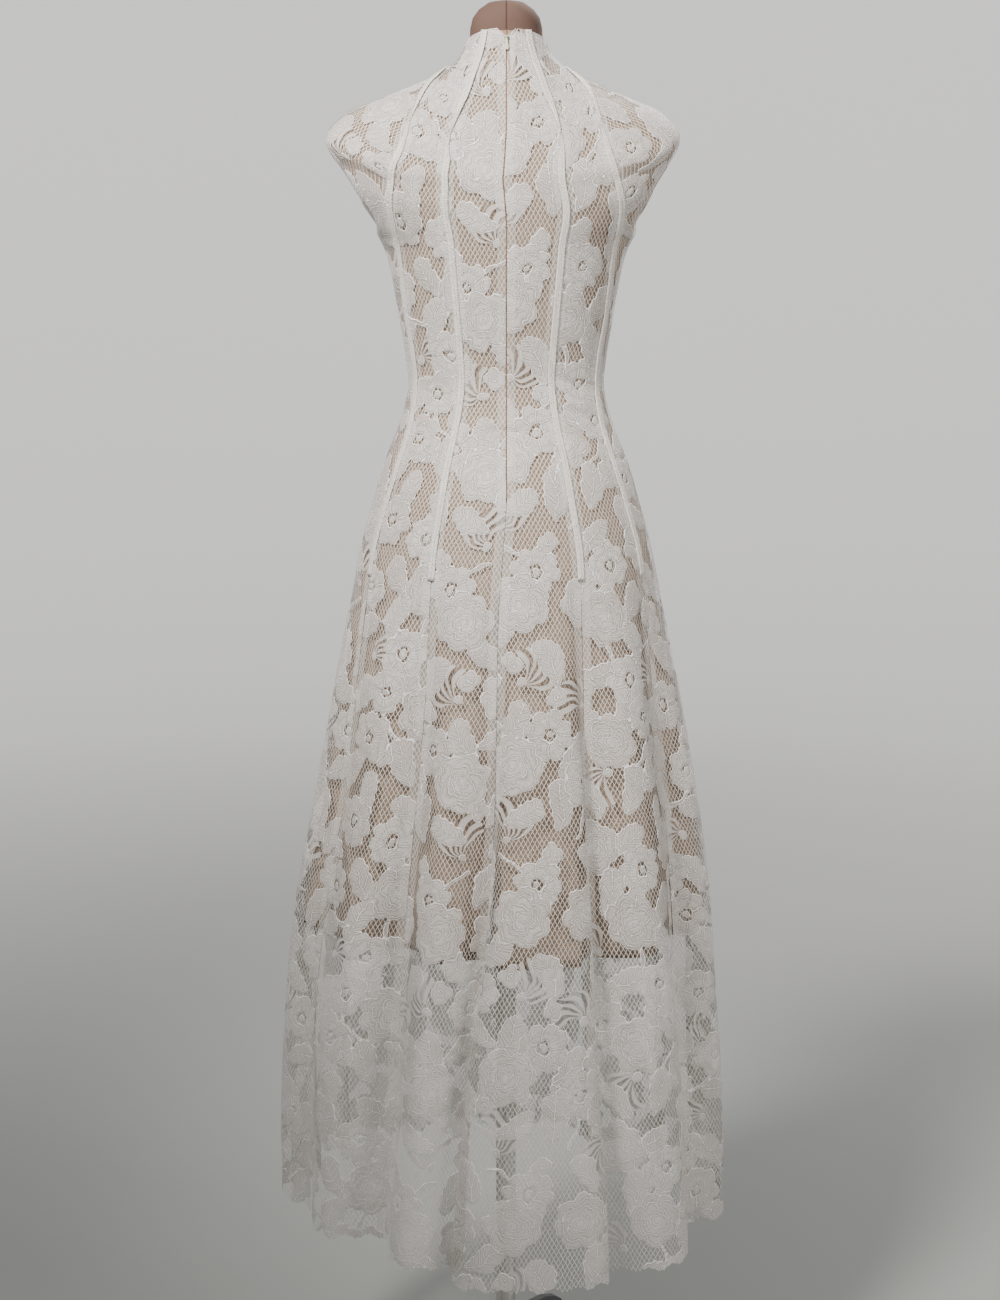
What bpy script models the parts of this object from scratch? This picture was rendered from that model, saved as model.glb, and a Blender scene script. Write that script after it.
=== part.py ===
"""Sleeveless lace maxi dress with a stand collar, on a dress form and its stand.

Metres, +Z up. The origin is on the floor under the middle of the stand. The dress faces -Y, so its zip
is at +Y and the wearer's left is at +X. Degrees run round the body from the centre back (0) over the
wearer's left side (90) to the centre front (180), and are negative on the right.
"""

import math
from collections import namedtuple

import bmesh
import bpy
from mathutils import Matrix, Vector

# The dress is a stack of rings. A ring is an oval with its own height at the side, the back and the
# front. The first rings pass over the shoulder line, and the last ones are level.
Ring = namedtuple("Ring", "half_width y_back y_front z_side z_back z_front")


def level(half_width, y_back, y_front, z):
    return Ring(half_width, y_back, y_front, z, z, z)


RINGS = (
    Ring(0.0475, 0.049, -0.057, 1.720, 1.730, 1.705),  # 0 top edge of the collar
    Ring(0.0550, 0.055, -0.063, 1.705, 1.702, 1.676),  # 1 foot of the collar
    Ring(0.0700, 0.066, -0.072, 1.691, 1.670, 1.645),  # 2 the outer seams start
    Ring(0.0850, 0.077, -0.084, 1.682, 1.641, 1.618),
    Ring(0.1180, 0.087, -0.095, 1.668, 1.613, 1.592),
    Ring(0.1550, 0.094, -0.107, 1.653, 1.589, 1.568),
    Ring(0.1860, 0.098, -0.118, 1.640, 1.569, 1.548),
    Ring(0.2110, 0.100, -0.127, 1.612, 1.553, 1.531),  # 7 tip of the shoulder cap
    Ring(0.2030, 0.100, -0.132, 1.584, 1.539, 1.517),
    Ring(0.1920, 0.100, -0.135, 1.551, 1.523, 1.502),  # 9 widest part of the armhole
    Ring(0.1670, 0.099, -0.137, 1.510, 1.503, 1.489),
    Ring(0.1475, 0.097, -0.138, 1.484, 1.482, 1.474),  # 11 underarm
    level(0.1375, 0.093, -0.134, 1.450),
    level(0.1290, 0.086, -0.120, 1.400),
    level(0.1215, 0.080, -0.106, 1.355),
    level(0.1190, 0.078, -0.099, 1.315),  # 15 waist
    level(0.1300, 0.089, -0.103, 1.270),
    level(0.1480, 0.108, -0.110, 1.225),
    level(0.1615, 0.126, -0.119, 1.180),  # 18 end of the zip
    level(0.1790, 0.142, -0.131, 1.120),
    level(0.1950, 0.159, -0.148, 1.050),
    level(0.2165, 0.181, -0.170, 0.950),
    level(0.2395, 0.204, -0.194, 0.830),
    level(0.2610, 0.226, -0.217, 0.700),
    level(0.2735, 0.245, -0.236, 0.560),
    level(0.2815, 0.257, -0.249, 0.420),
    level(0.2830, 0.262, -0.256, 0.280),  # 26 hem
)
COLLAR, SIDE_TOP, CAP_TIP, HIP, HEM = 0, 2, 7, 18, 26

# Values that change from ring to ring, as (ring, value). The seams are in degrees from the centre back,
# or from the centre front for the front ones.
X_MIDDLE = ((4, 0.0), (7, 0.004), (10, 0.0), (22, 0.0), (24, 0.006), (26, 0.004))
CENTRE_BACK = ((18, 0.0), (20, 2.8), (22, 3.6), (23, 4.8), (24, 7.5), (25, 10.0), (26, 12.0))
BODICE_INNER = (
    (0, 31.0), (2, 34.0), (3, 34.0), (4, 29.5), (5, 25.0), (6, 20.8), (7, 18.6), (8, 19.6), (9, 21.4),
    (10, 24.2), (11, 26.0), (12, 26.8), (15, 26.4), (17, 27.8), (19, 28.7),
)
BACK_INNER_LEFT = BODICE_INNER + ((21, 28.0), (22, 29.5), (24, 31.5), (25, 34.0), (26, 38.5))
BACK_INNER_RIGHT = BODICE_INNER + ((21, 26.5), (22, 25.5), (24, 25.5), (26, 26.5))
BODICE_OUTER = (
    (0, 90.0), (1, 90.0), (2, 88.3), (3, 80.0), (4, 60.0), (5, 46.5), (6, 40.0), (7, 37.2), (8, 40.2),
    (9, 44.5), (10, 53.0), (11, 60.0), (12, 64.0), (13, 66.0), (15, 65.0), (16, 61.5), (17, 60.0),
    (18, 61.5), (19, 62.3),
)
BACK_OUTER_LEFT = BODICE_OUTER + ((21, 58.5), (22, 57.0), (26, 64.0))
BACK_OUTER_RIGHT = BODICE_OUTER + ((21, 59.0), (23, 61.0), (26, 70.0))
FRONT_OUTER = BODICE_OUTER + ((22, 60.0), (26, 63.0))
FRONT_INNER = (
    (0, 30.0), (2, 33.0), (4, 31.0), (7, 27.0), (9, 32.0), (11, 36.5), (13, 33.0), (15, 29.0),
    (18, 27.0), (26, 31.0),
)
ARMHOLE = ((7, 0.0), (8, 19.0), (9, 26.0), (10, 23.0), (11, 0.0))
FLUTE_DEPTH = (
    (18, 0.0), (19, 0.001), (20, 0.005), (21, 0.013), (22, 0.023), (23, 0.032), (24, 0.040), (25, 0.046),
    (26, 0.051),
)
LINING_INSET = (
    (1, 0.0024), (2, 0.0029), (4, 0.0029), (5, 0.0024), (18, 0.0024), (19, 0.0036), (20, 0.0060),
    (21, 0.0090), (22, 0.0110), (23, 0.0125),
)
TAPE_LIFT = ((2, 0.0007), (3, 0.0010), (4, 0.0010), (5, 0.0007))
FORM_HALF_WIDTH = (
    (4, 0.1160), (5, 0.1480), (6, 0.1640), (7, 0.1660), (8, 0.1620), (9, 0.1560), (10, 0.1490),
    (11, 0.1425), (12, 0.1330), (13, 0.1300),
)

SHOULDER_ROUNDING = 1.4  # above 1, a ring leaves the shoulder line more level than an oval does
SEAM_GAP = 0.0004
ZIP_GAP = 0.0016  # the open line between the panels' edges over the zip
SHOULDER_GAP = 0.0014  # at the outside of the shoulder ridge, where the walls lean together inside
LACE_WALL = 0.0011
SHORT_ROW = 0.010
SHORT_ROW_GAP_SHARE = 0.2
LINING_WALL = 0.0010
FORM_INSET = 0.0042

# The bust is two soft rises of the front panels, each under its own princess seam.
BUST_RISE = 0.013
BUST_DEGREES = 36.0
BUST_SPREAD_DEGREES = 21.0
BUST_Z = 1.478
BUST_SPREAD_Z = 0.050

# A flute hangs between two seams. Its crest is wider than its valleys where the power is above 1.
# The broad flute right of the centre back leans out over its neighbours at both edges.
FLUTE_POWER = 1.2
BROAD_FLUTE_POWER = 2.8
BROAD_OVERHANG = 0.25

# The hem is a little higher on the left, as (degrees, rise).
HEM_RISE = (
    (-180.0, 0.010), (-90.0, 0.004), (-30.0, -0.008), (10.0, 0.004), (25.0, 0.020), (90.0, 0.040),
    (180.0, 0.010),
)
HEM_RISE_RING = 22

# The tapes cover the princess seams down to the hip.
TAPE_WIDTH = 0.0085
TAPE_WALL = 0.0010
TAPE_START = 0.02  # just under the collar's edge or the shoulder
TAPE_END_RING = 19.43
TAPE_EDGE_SHARE = 0.8  # of the facet under it, at the most

LINING_TOP_RING = 0.15
LINING_HEM_RING = 23.34
LINING_OUTER_LIMIT = ((0, 68.0), (2, 76.0), (3, 80.0))
HALF_BACK_COLUMNS = {"left": 2, "right": 5}

# The concealed zip runs down the centre back from the collar.
ZIP_END_RING = 17.9
ZIP_TAPE_HALF = 0.011
ZIP_TAPE_INSET = 0.0015
ZIP_TAPE_WALL = 0.0005
SLIDER_RING = 0.42
SLIDER_WIDTH, SLIDER_HEIGHT, SLIDER_WALL = 0.0050, 0.0085, 0.0012
SLIDER_LIFT = 0.0004
BAIL_BAR_RADIUS = 0.00045
BAIL_EAR_WALL = 0.0007
BAIL_EAR_HEIGHT = 0.0028
BAIL_BAR_HEIGHT = 0.0020
BAIL_EAR_HALF = 0.0011
BAIL_INNER_WIDTH = 0.0026
PULL_EYE_RADIUS, PULL_EYE_HOLE = 0.00160, 0.00085
PULL_EYE_WIDTH = 0.0016
PULL_LENGTH, PULL_HALF_WIDTH, PULL_WALL = 0.0150, 0.0026, 0.0010
PULL_LEAN_DEGREES = 6.0  # the tab's end leans in from the slider's plane until it nears the cloth
PULL_NECK_HALF = 0.0008

# The dress form ends in a flat base under the hips and in a low dome over the neck.
FORM_HIPS = (
    level(0.1550, 0.118, -0.111, 1.180),
    level(0.1610, 0.123, -0.113, 1.120),
    level(0.1560, 0.115, -0.107, 1.050),
    level(0.1480, 0.104, -0.098, 1.010),
)
FORM_NECK = (
    level(0.0110, 0.0115, -0.0130, 1.7675),
    level(0.0225, 0.0235, -0.0270, 1.7650),
    level(0.0330, 0.0340, -0.0400, 1.7575),
    level(0.0400, 0.0415, -0.0490, 1.7480),
    Ring(0.0428, 0.0447, -0.0525, 1.7360, 1.7400, 1.7260),
)
FORM_BASE_Z = FORM_HIPS[-1].z_side

# The stand is a pole in a hub with five curved legs, each on a round foot.
PLAY = 0.0003
POLE_RADIUS = 0.0125
HUB_RADIUS, HUB_LOW, HUB_HIGH = 0.030, 0.055, 0.125
HUB_BEVEL = 0.0040
LEG_START_Z = 0.095
LEG_COUNT = 5
LEG_RADIUS = 0.0085
FOOT_RADIUS, FOOT_HEIGHT, FOOT_BEVEL = 0.0140, 0.0120, 0.0020
LEG_PATH = ((0.060, 0.0930), (0.105, 0.0850), (0.160, 0.0680), (0.205, 0.0480), (0.235, 0.0300))
LEG_END = 0.246
FIRST_LEG_DEGREES = 180.0  # toward -X, seen from above

COLOURS = {
    "lace": (0.72, 0.69, 0.62, 1.0),
    "tape": (0.78, 0.75, 0.68, 1.0),
    "lining": (0.50, 0.34, 0.24, 1.0),
    "form_cloth": (0.30, 0.20, 0.16, 1.0),
    "cream_enamel": (0.72, 0.66, 0.52, 1.0),
    "zip_metal": (0.55, 0.52, 0.47, 1.0),
    "brushed_steel": (0.60, 0.59, 0.57, 1.0),
    "dark_steel": (0.03, 0.03, 0.03, 1.0),
    "black_rubber": (0.02, 0.02, 0.02, 1.0),
}
ROUGHNESS = {"cream_enamel": 0.35, "zip_metal": 0.30, "brushed_steel": 0.35, "dark_steel": 0.40}
METALLIC = {"zip_metal": 1.0, "brushed_steel": 1.0, "dark_steel": 0.8}


def clear_scene():
    for old in list(bpy.context.scene.objects):
        bpy.data.objects.remove(old, do_unlink=True)


def make_material(name):
    material = bpy.data.materials.new(name)
    material.use_nodes = True
    shader = material.node_tree.nodes["Principled BSDF"]
    shader.inputs["Base Color"].default_value = COLOURS[name]
    shader.inputs["Roughness"].default_value = ROUGHNESS.get(name, 0.85)
    shader.inputs["Metallic"].default_value = METALLIC.get(name, 0.0)
    return material


def along(table, ring):
    """The value of a (ring, value) table at a ring, on straight lines between its rows."""
    if ring <= table[0][0]:
        return table[0][1]
    for (low, first), (high, last) in zip(table, table[1:]):
        if ring <= high:
            return first + (last - first) * (ring - low) / (high - low)
    return table[-1][1]


def sizes(ring):
    """The sizes of the ring at a whole or a broken ring number."""
    low = min(max(int(math.floor(ring)), 0), HEM - 1)
    part = ring - low
    return Ring(*(a + (b - a) * part for a, b in zip(RINGS[low], RINGS[low + 1])))


def seam(table, base=0.0, sign=1.0):
    """A seam's degrees as a function of the ring."""
    return lambda ring: base + sign * along(table, ring)


SEAMS = {
    "centre_back": seam(CENTRE_BACK),
    "back_inner_left": seam(BACK_INNER_LEFT),
    "back_outer_left": seam(BACK_OUTER_LEFT),
    "side_back_left": seam(ARMHOLE, 90.0, -1.0),
    "side_front_left": seam(ARMHOLE, 90.0),
    "front_outer_left": seam(FRONT_OUTER, 180.0, -1.0),
    "front_inner_left": seam(FRONT_INNER, 180.0, -1.0),
    "back_inner_right": seam(BACK_INNER_RIGHT, 0.0, -1.0),
    "back_outer_right": seam(BACK_OUTER_RIGHT, 0.0, -1.0),
    "side_back_right": seam(ARMHOLE, -90.0),
    "side_front_right": seam(ARMHOLE, -90.0, -1.0),
    "front_outer_right": seam(FRONT_OUTER, -180.0),
    "front_inner_right": seam(FRONT_INNER, -180.0),
    "front_inner_beyond": seam(FRONT_INNER, 180.0),
}

# The valleys round the skirt from the centre front over the right side, with how much of the full depth
# each one has.
VALLEYS = (
    (seam(((0, -180.0),)), 0.8),
    (SEAMS["front_inner_right"], 1.0),
    (SEAMS["front_outer_right"], 1.0),
    (seam(((0, -90.0),)), 1.0),
    (SEAMS["back_outer_right"], 0.9),
    (SEAMS["back_inner_right"], 1.0),
    (SEAMS["centre_back"], 1.0),
    (SEAMS["back_inner_left"], 1.0),
    (SEAMS["back_outer_left"], 0.4),
    (seam(((0, 90.0),)), 1.0),
    (SEAMS["front_outer_left"], 1.0),
    (SEAMS["front_inner_left"], 1.0),
    (seam(((0, 180.0),)), 0.8),
)
BROAD_FLUTE = 5


def folded(ring, degrees):
    """Where a point of the cloth lies round the body, and how deep in a valley, from 0 to 1."""
    turned = (degrees + 180.0) % 360.0 - 180.0
    for number, (low_valley, high_valley) in enumerate(zip(VALLEYS, VALLEYS[1:])):
        low, high = low_valley[0](ring), high_valley[0](ring)
        if turned <= high:
            break
    across = (turned - low) / max(high - low, 0.001)
    share = low_valley[1] if across < 0.5 else high_valley[1]
    wave = max(0.5 + 0.5 * math.cos(2 * math.pi * across), 0.0)
    if number != BROAD_FLUTE:
        return degrees, share * wave ** FLUTE_POWER
    overhang = BROAD_OVERHANG * along(FLUTE_DEPTH, ring) / FLUTE_DEPTH[-1][1]
    shift = overhang * math.sin(2 * math.pi * across) * (high - low)
    return degrees - shift, share * wave ** BROAD_FLUTE_POWER


def oval_point(size, degrees, x_middle=0.0):
    """A point of one ring's oval."""
    turn = math.radians(degrees)
    side, back = math.sin(turn), math.cos(turn)
    y_end, z_end = (size.y_back, size.z_back) if back > 0 else (size.y_front, size.z_front)
    rise = abs(back) ** SHOULDER_ROUNDING
    return Vector((
        x_middle + size.half_width * side,
        y_end * abs(back),
        size.z_side + (z_end - size.z_side) * rise,
    ))


def point(ring, degrees):
    """A point of the outside of the dress."""
    place_degrees, depth = folded(ring, degrees)
    place = oval_point(sizes(ring), place_degrees, along(X_MIDDLE, ring))
    turned = (degrees + 180.0) % 360.0 - 180.0
    off_bust = (180.0 - abs(turned) - BUST_DEGREES) / BUST_SPREAD_DEGREES
    off_height = (place.z - BUST_Z) / BUST_SPREAD_Z
    outward = Vector((place.x, place.y, 0.0)).normalized()
    place += outward * BUST_RISE * math.exp(-off_bust ** 2 - off_height ** 2)
    place -= outward * along(FLUTE_DEPTH, ring) * depth
    place.z += along(HEM_RISE, turned) * max(ring - HEM_RISE_RING, 0) / (HEM - HEM_RISE_RING)
    return place


def normal(ring, degrees):
    """The outward direction at a point of the dress."""
    here = point(ring, degrees)
    above, below = point(max(ring - 0.5, 0), degrees), point(min(ring + 0.5, HEM), degrees)
    down = (here - above).normalized() + (below - here).normalized()
    round_it = point(ring, degrees + 1.5) - point(ring, degrees - 1.5)
    return round_it.cross(down).normalized()


def shifted(ring, degrees, out):
    return point(ring, degrees) + normal(ring, degrees) * out


def spread(start, end, columns):
    return [start + (end - start) * number / columns for number in range(columns + 1)]


def rings_between(start, end):
    """A broken ring number at each end and the whole ones between."""
    inside = [float(number) for number in range(HEM + 1) if start < number < end]
    return [start] + inside + [end]


def edge_pulled_in(row, first_gap, last_gap):
    """A row of points with its two ends moved in along the row. A very short row is spaced afresh."""
    length = (row[-1] - row[0]).length
    short = length < SHORT_ROW
    if short:
        widest_gap = length * SHORT_ROW_GAP_SHARE
        first_gap, last_gap = min(first_gap, widest_gap), min(last_gap, widest_gap)
    first = row[0] + (row[1] - row[0]).normalized() * first_gap
    last = row[-1] + (row[-2] - row[-1]).normalized() * last_gap
    if short:
        steps = len(row) - 1
        return [first.lerp(last, number / steps) for number in range(steps + 1)]
    return [first] + row[1:-1] + [last]


def keep(mesh_or_curve, name, material, collection):
    piece = bpy.data.objects.new(name, mesh_or_curve)
    piece.data.materials.append(material)
    collection.objects.link(piece)
    return piece


def mesh_from(bm, name, smooth=True):
    mesh = bpy.data.meshes.new(name)
    bm.to_mesh(mesh)
    bm.free()
    if smooth:
        mesh.shade_smooth()
    return mesh


def shell(name, rows, wall, material, collection):
    """A cloth piece: an open grid of points with its thickness on the inside."""
    bm = bmesh.new()
    grid = [[bm.verts.new(place) for place in row] for row in rows]
    for upper, lower in zip(grid, grid[1:]):
        for number in range(len(upper) - 1):
            bm.faces.new((upper[number], upper[number + 1], lower[number + 1], lower[number]))
    piece = keep(mesh_from(bm, name), name, material, collection)
    solid = piece.modifiers.new("Wall", "SOLIDIFY")
    solid.thickness = wall
    solid.offset = -1.0
    return piece


def closed_loft(name, loops, material, collection):
    """A solid through closed loops, from the top one down."""
    bm = bmesh.new()
    grid = [[bm.verts.new(place) for place in loop] for loop in loops]
    count = len(grid[0])
    for upper, lower in zip(grid, grid[1:]):
        for number in range(count):
            following = (number + 1) % count
            bm.faces.new((upper[number], upper[following], lower[following], lower[number]))
    bm.faces.new(list(reversed(grid[0])))
    bm.faces.new(grid[-1])
    return keep(mesh_from(bm, name), name, material, collection)


Gore = namedtuple("Gore", "name start end columns first_ring")
GORES = (
    Gore("back_center_left", "centre_back", "back_inner_left", 4, COLLAR),
    Gore("back_center_right", "back_inner_right", "centre_back", 10, COLLAR),
    Gore("back_mid_left", "back_inner_left", "back_outer_left", 6, COLLAR),
    Gore("back_mid_right", "back_outer_right", "back_inner_right", 6, COLLAR),
    Gore("back_side_left", "back_outer_left", "side_back_left", 4, SIDE_TOP),
    Gore("back_side_right", "side_back_right", "back_outer_right", 4, SIDE_TOP),
    Gore("front_side_left", "side_front_left", "front_outer_left", 4, SIDE_TOP),
    Gore("front_side_right", "front_outer_right", "side_front_right", 4, SIDE_TOP),
    Gore("front_mid_left", "front_outer_left", "front_inner_left", 6, COLLAR),
    Gore("front_mid_right", "front_inner_right", "front_outer_right", 6, COLLAR),
    Gore("front_center", "front_inner_left", "front_inner_beyond", 8, COLLAR),
)

# Each tape covers the seam between two gores, in the order in which they run round the body.
Tape = namedtuple("Tape", "name seam before after")
TAPES = (
    Tape("back_inner_left", "back_inner_left", "back_center_left", "back_mid_left"),
    Tape("back_outer_left", "back_outer_left", "back_mid_left", "back_side_left"),
    Tape("front_outer_left", "front_outer_left", "front_side_left", "front_mid_left"),
    Tape("front_inner_left", "front_inner_left", "front_mid_left", "front_center"),
    Tape("back_inner_right", "back_inner_right", "back_mid_right", "back_center_right"),
    Tape("back_outer_right", "back_outer_right", "back_side_right", "back_mid_right"),
    Tape("front_outer_right", "front_outer_right", "front_mid_right", "front_side_right"),
    Tape("front_inner_right", "front_inner_beyond", "front_center", "front_mid_right"),
)


def columns_of(gore, ring):
    return spread(SEAMS[gore.start](ring), SEAMS[gore.end](ring), gore.columns)


def half_gap(name, ring):
    """Half the gap at a seam. It is wider over the zip and along the shoulder."""
    if name == "centre_back" and ring <= ZIP_END_RING:
        return ZIP_GAP / 2
    on_shoulder = ring <= CAP_TIP and abs(abs(SEAMS[name](ring)) - 90.0) < 1.0
    return (SHOULDER_GAP if on_shoulder else SEAM_GAP) / 2


def make_lace(gore, material, collection):
    rows = []
    for ring in range(gore.first_ring, HEM + 1):
        row = [point(ring, degrees) for degrees in columns_of(gore, ring)]
        rows.append(edge_pulled_in(row, half_gap(gore.start, ring), half_gap(gore.end, ring)))
    return shell("lace_" + gore.name, rows, LACE_WALL, material, collection)


def make_tape(tape, gores, material, collection):
    """A tape over a seam. Its edges lie over the first facets of the two gores beside the seam."""
    before, after = gores[tape.before], gores[tape.after]
    first_ring = max(before.first_ring, after.first_ring) + TAPE_START
    rows = []
    for ring in rings_between(first_ring, TAPE_END_RING):
        degrees = SEAMS[tape.seam](ring)
        middle = point(ring, degrees)
        outward = normal(ring, degrees) * (along(TAPE_LIFT, ring) + TAPE_WALL)
        edges = []
        for beside in (columns_of(before, ring)[-2], columns_of(after, ring)[1]):
            toward = point(ring, beside) - middle
            reach = min(TAPE_WIDTH / 2, toward.length * TAPE_EDGE_SHARE)
            edges.append(middle + toward.normalized() * reach + outward)
        rows.append([edges[0], middle + outward, edges[1]])
    return shell("tape_" + tape.name, rows, TAPE_WALL, material, collection)


def half_back(side, ring, open_armhole):
    """The degrees of one half of the back's columns, from the centre back to the side."""
    sign = 1.0 if side == "left" else -1.0
    inner = SEAMS["back_inner_" + side](ring)
    outer = sign * min(sign * SEAMS["back_outer_" + side](ring), along(LINING_OUTER_LIMIT, ring))
    end = SEAMS["side_back_" + side](ring) if open_armhole else sign * 90.0
    first = spread(SEAMS["centre_back"](ring), inner, HALF_BACK_COLUMNS[side])
    return first + spread(inner, outer, 3)[1:] + spread(outer, end, 2)[1:]


def whole_front(ring, open_armhole):
    """The degrees of the front's columns, from the left side over the centre front to the right side."""
    outer = min(along(FRONT_OUTER, ring), along(LINING_OUTER_LIMIT, ring))
    start = SEAMS["side_front_left"](ring) if open_armhole else 90.0
    half = spread(start, 180.0 - outer, 2) + spread(180.0 - outer, SEAMS["front_inner_left"](ring), 3)[1:]
    half += spread(SEAMS["front_inner_left"](ring), 180.0, 2)[1:]
    return half + [360.0 - degrees for degrees in reversed(half[:-1])]


def make_lining(material, collection):
    parts = {"lining_back_left": [], "lining_back_right": [], "lining_front": []}
    for ring in rings_between(LINING_TOP_RING, LINING_HEM_RING):
        inset = along(LINING_INSET, ring)
        columns = {
            "lining_back_left": half_back("left", ring, True),
            "lining_back_right": list(reversed(half_back("right", ring, True))),
            "lining_front": whole_front(ring, True),
        }
        side = half_gap("side_back_left", ring)
        gaps = {
            "lining_back_left": (SEAM_GAP / 2, side),
            "lining_back_right": (side, SEAM_GAP / 2),
            "lining_front": (side, side),
        }
        for name, degrees_list in columns.items():
            row = [shifted(ring, degrees, -inset) for degrees in degrees_list]
            parts[name].append(edge_pulled_in(row, *gaps[name]))
    for name, rows in parts.items():
        shell(name, rows, LINING_WALL, material, collection)


def form_columns(ring):
    right_back = [360.0 + degrees for degrees in reversed(half_back("right", ring, False))]
    return half_back("left", ring, False) + whole_front(ring, False)[1:] + right_back[1:-1]


def make_form(material, collection):
    loops = []
    for size in FORM_NECK:
        loops.append([oval_point(size, degrees) for degrees in form_columns(0)])
    for ring in range(HIP):
        limit = along(FORM_HALF_WIDTH, ring)
        loop = [shifted(ring, degrees, -FORM_INSET) for degrees in form_columns(ring)]
        widest = max(place.x for place in loop)
        narrowing = min(1.0, limit / widest) if ring >= FORM_HALF_WIDTH[0][0] else 1.0
        loops.append([Vector((place.x * narrowing, place.y, place.z)) for place in loop])
    for size in FORM_HIPS:
        loops.append([oval_point(size, degrees) for degrees in form_columns(HIP)])
    return closed_loft("form_body", loops, material, collection)


def make_zip_tape(material, collection):
    rows = []
    for ring in rings_between(LINING_TOP_RING, ZIP_END_RING):
        middle = shifted(ring, 0.0, -ZIP_TAPE_INSET)
        across = Vector((ZIP_TAPE_HALF, 0.0, 0.0))
        drop = point(ring, 0.0) - point(ring, math.degrees(ZIP_TAPE_HALF / sizes(ring).half_width))
        back_drop = Vector((0.0, drop.y, 0.0))
        rows.append([middle - across - back_drop, middle, middle + across - back_drop])
    return shell("zip_tape", rows, ZIP_TAPE_WALL, material, collection)


def join_solids(base, others, operation="UNION"):
    """Joins the other pieces to the base, or cuts them from it, and removes them."""
    for other in others:
        change = base.modifiers.new("Join", "BOOLEAN")
        change.operation = operation
        change.solver = "EXACT"
        change.object = other
    bpy.context.view_layer.update()
    evaluated = base.evaluated_get(bpy.context.evaluated_depsgraph_get())
    joined = bpy.data.meshes.new_from_object(evaluated)
    base.modifiers.clear()
    base.data = joined
    for other in others:
        bpy.data.objects.remove(other, do_unlink=True)
    return base


def box(name, low, high, material, collection):
    bm = bmesh.new()
    bmesh.ops.create_cube(bm, size=1.0)
    for vertex in bm.verts:
        for axis in range(3):
            middle = (low[axis] + high[axis]) / 2
            vertex.co[axis] = middle + vertex.co[axis] * (high[axis] - low[axis])
    return keep(mesh_from(bm, name, smooth=False), name, material, collection)


def cylinder_x(name, middle, radius, width, sides, material, collection):
    """A cylinder along X."""
    bm = bmesh.new()
    bmesh.ops.create_cone(
        bm, cap_ends=True, segments=sides, radius1=radius, radius2=radius, depth=width
    )
    for vertex in bm.verts:
        x, y, z = vertex.co
        vertex.co = middle + Vector((z, y, -x))
    return keep(mesh_from(bm, name, smooth=False), name, material, collection)


def on_slider(place, lean=0.0):
    """From the slider's own axes (across, out from the cloth, up along it) to the part's."""
    seat = point(SLIDER_RING, 0.0)
    outward = normal(SLIDER_RING, 0.0)
    tilt = math.atan2(outward.z, outward.y)
    bar = Vector((0.0, BAIL_BAR_HEIGHT, 0.0))
    local = bar + Matrix.Rotation(-lean, 3, "X") @ (place - bar)
    lift = Vector((0.0, SLIDER_LIFT + SLIDER_WALL, 0.0))
    return seat + Matrix.Rotation(tilt, 3, "X") @ (local + lift)


def set_on_slider(piece, lean=0.0):
    for vertex in piece.data.vertices:
        vertex.co = on_slider(vertex.co.copy(), lean)
    return piece


def make_slider(material, collection):
    """The slider's body and its bail, with y = 0 on the body's outer face and z = 0 at the bail's bar."""
    half, wall = SLIDER_WIDTH / 2, SLIDER_WALL
    low = (-half, -wall, -SLIDER_HEIGHT * 0.7)
    base = box("zip_slider", low, (half, 0.0, SLIDER_HEIGHT * 0.3), material, collection)
    parts = []
    inner = BAIL_INNER_WIDTH / 2
    for side in (-1, 1):
        ends = sorted((side * inner, side * (inner + BAIL_EAR_WALL)))
        ear_low = (ends[0], -wall / 2, -BAIL_EAR_HALF)
        ear_high = (ends[1], BAIL_EAR_HEIGHT, BAIL_EAR_HALF)
        parts.append(box("ear", ear_low, ear_high, material, collection))
    middle = Vector((0.0, BAIL_BAR_HEIGHT, 0.0))
    bar_length = BAIL_INNER_WIDTH + BAIL_EAR_WALL
    parts.append(cylinder_x("bar", middle, BAIL_BAR_RADIUS, bar_length, 12, material, collection))
    return set_on_slider(join_solids(base, parts))


def pull_outline():
    """The tab's outline: a narrow neck that widens to a round end."""
    steps = 10
    round_z = -PULL_LENGTH + PULL_HALF_WIDTH
    neck_z = -PULL_EYE_HOLE - 0.0003
    places = [(PULL_NECK_HALF, neck_z)]
    for number in range(steps + 1):
        turn = math.pi * number / steps
        places.append((PULL_HALF_WIDTH * math.cos(turn), round_z - PULL_HALF_WIDTH * math.sin(turn)))
    places.append((-PULL_NECK_HALF, neck_z))
    return places


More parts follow.
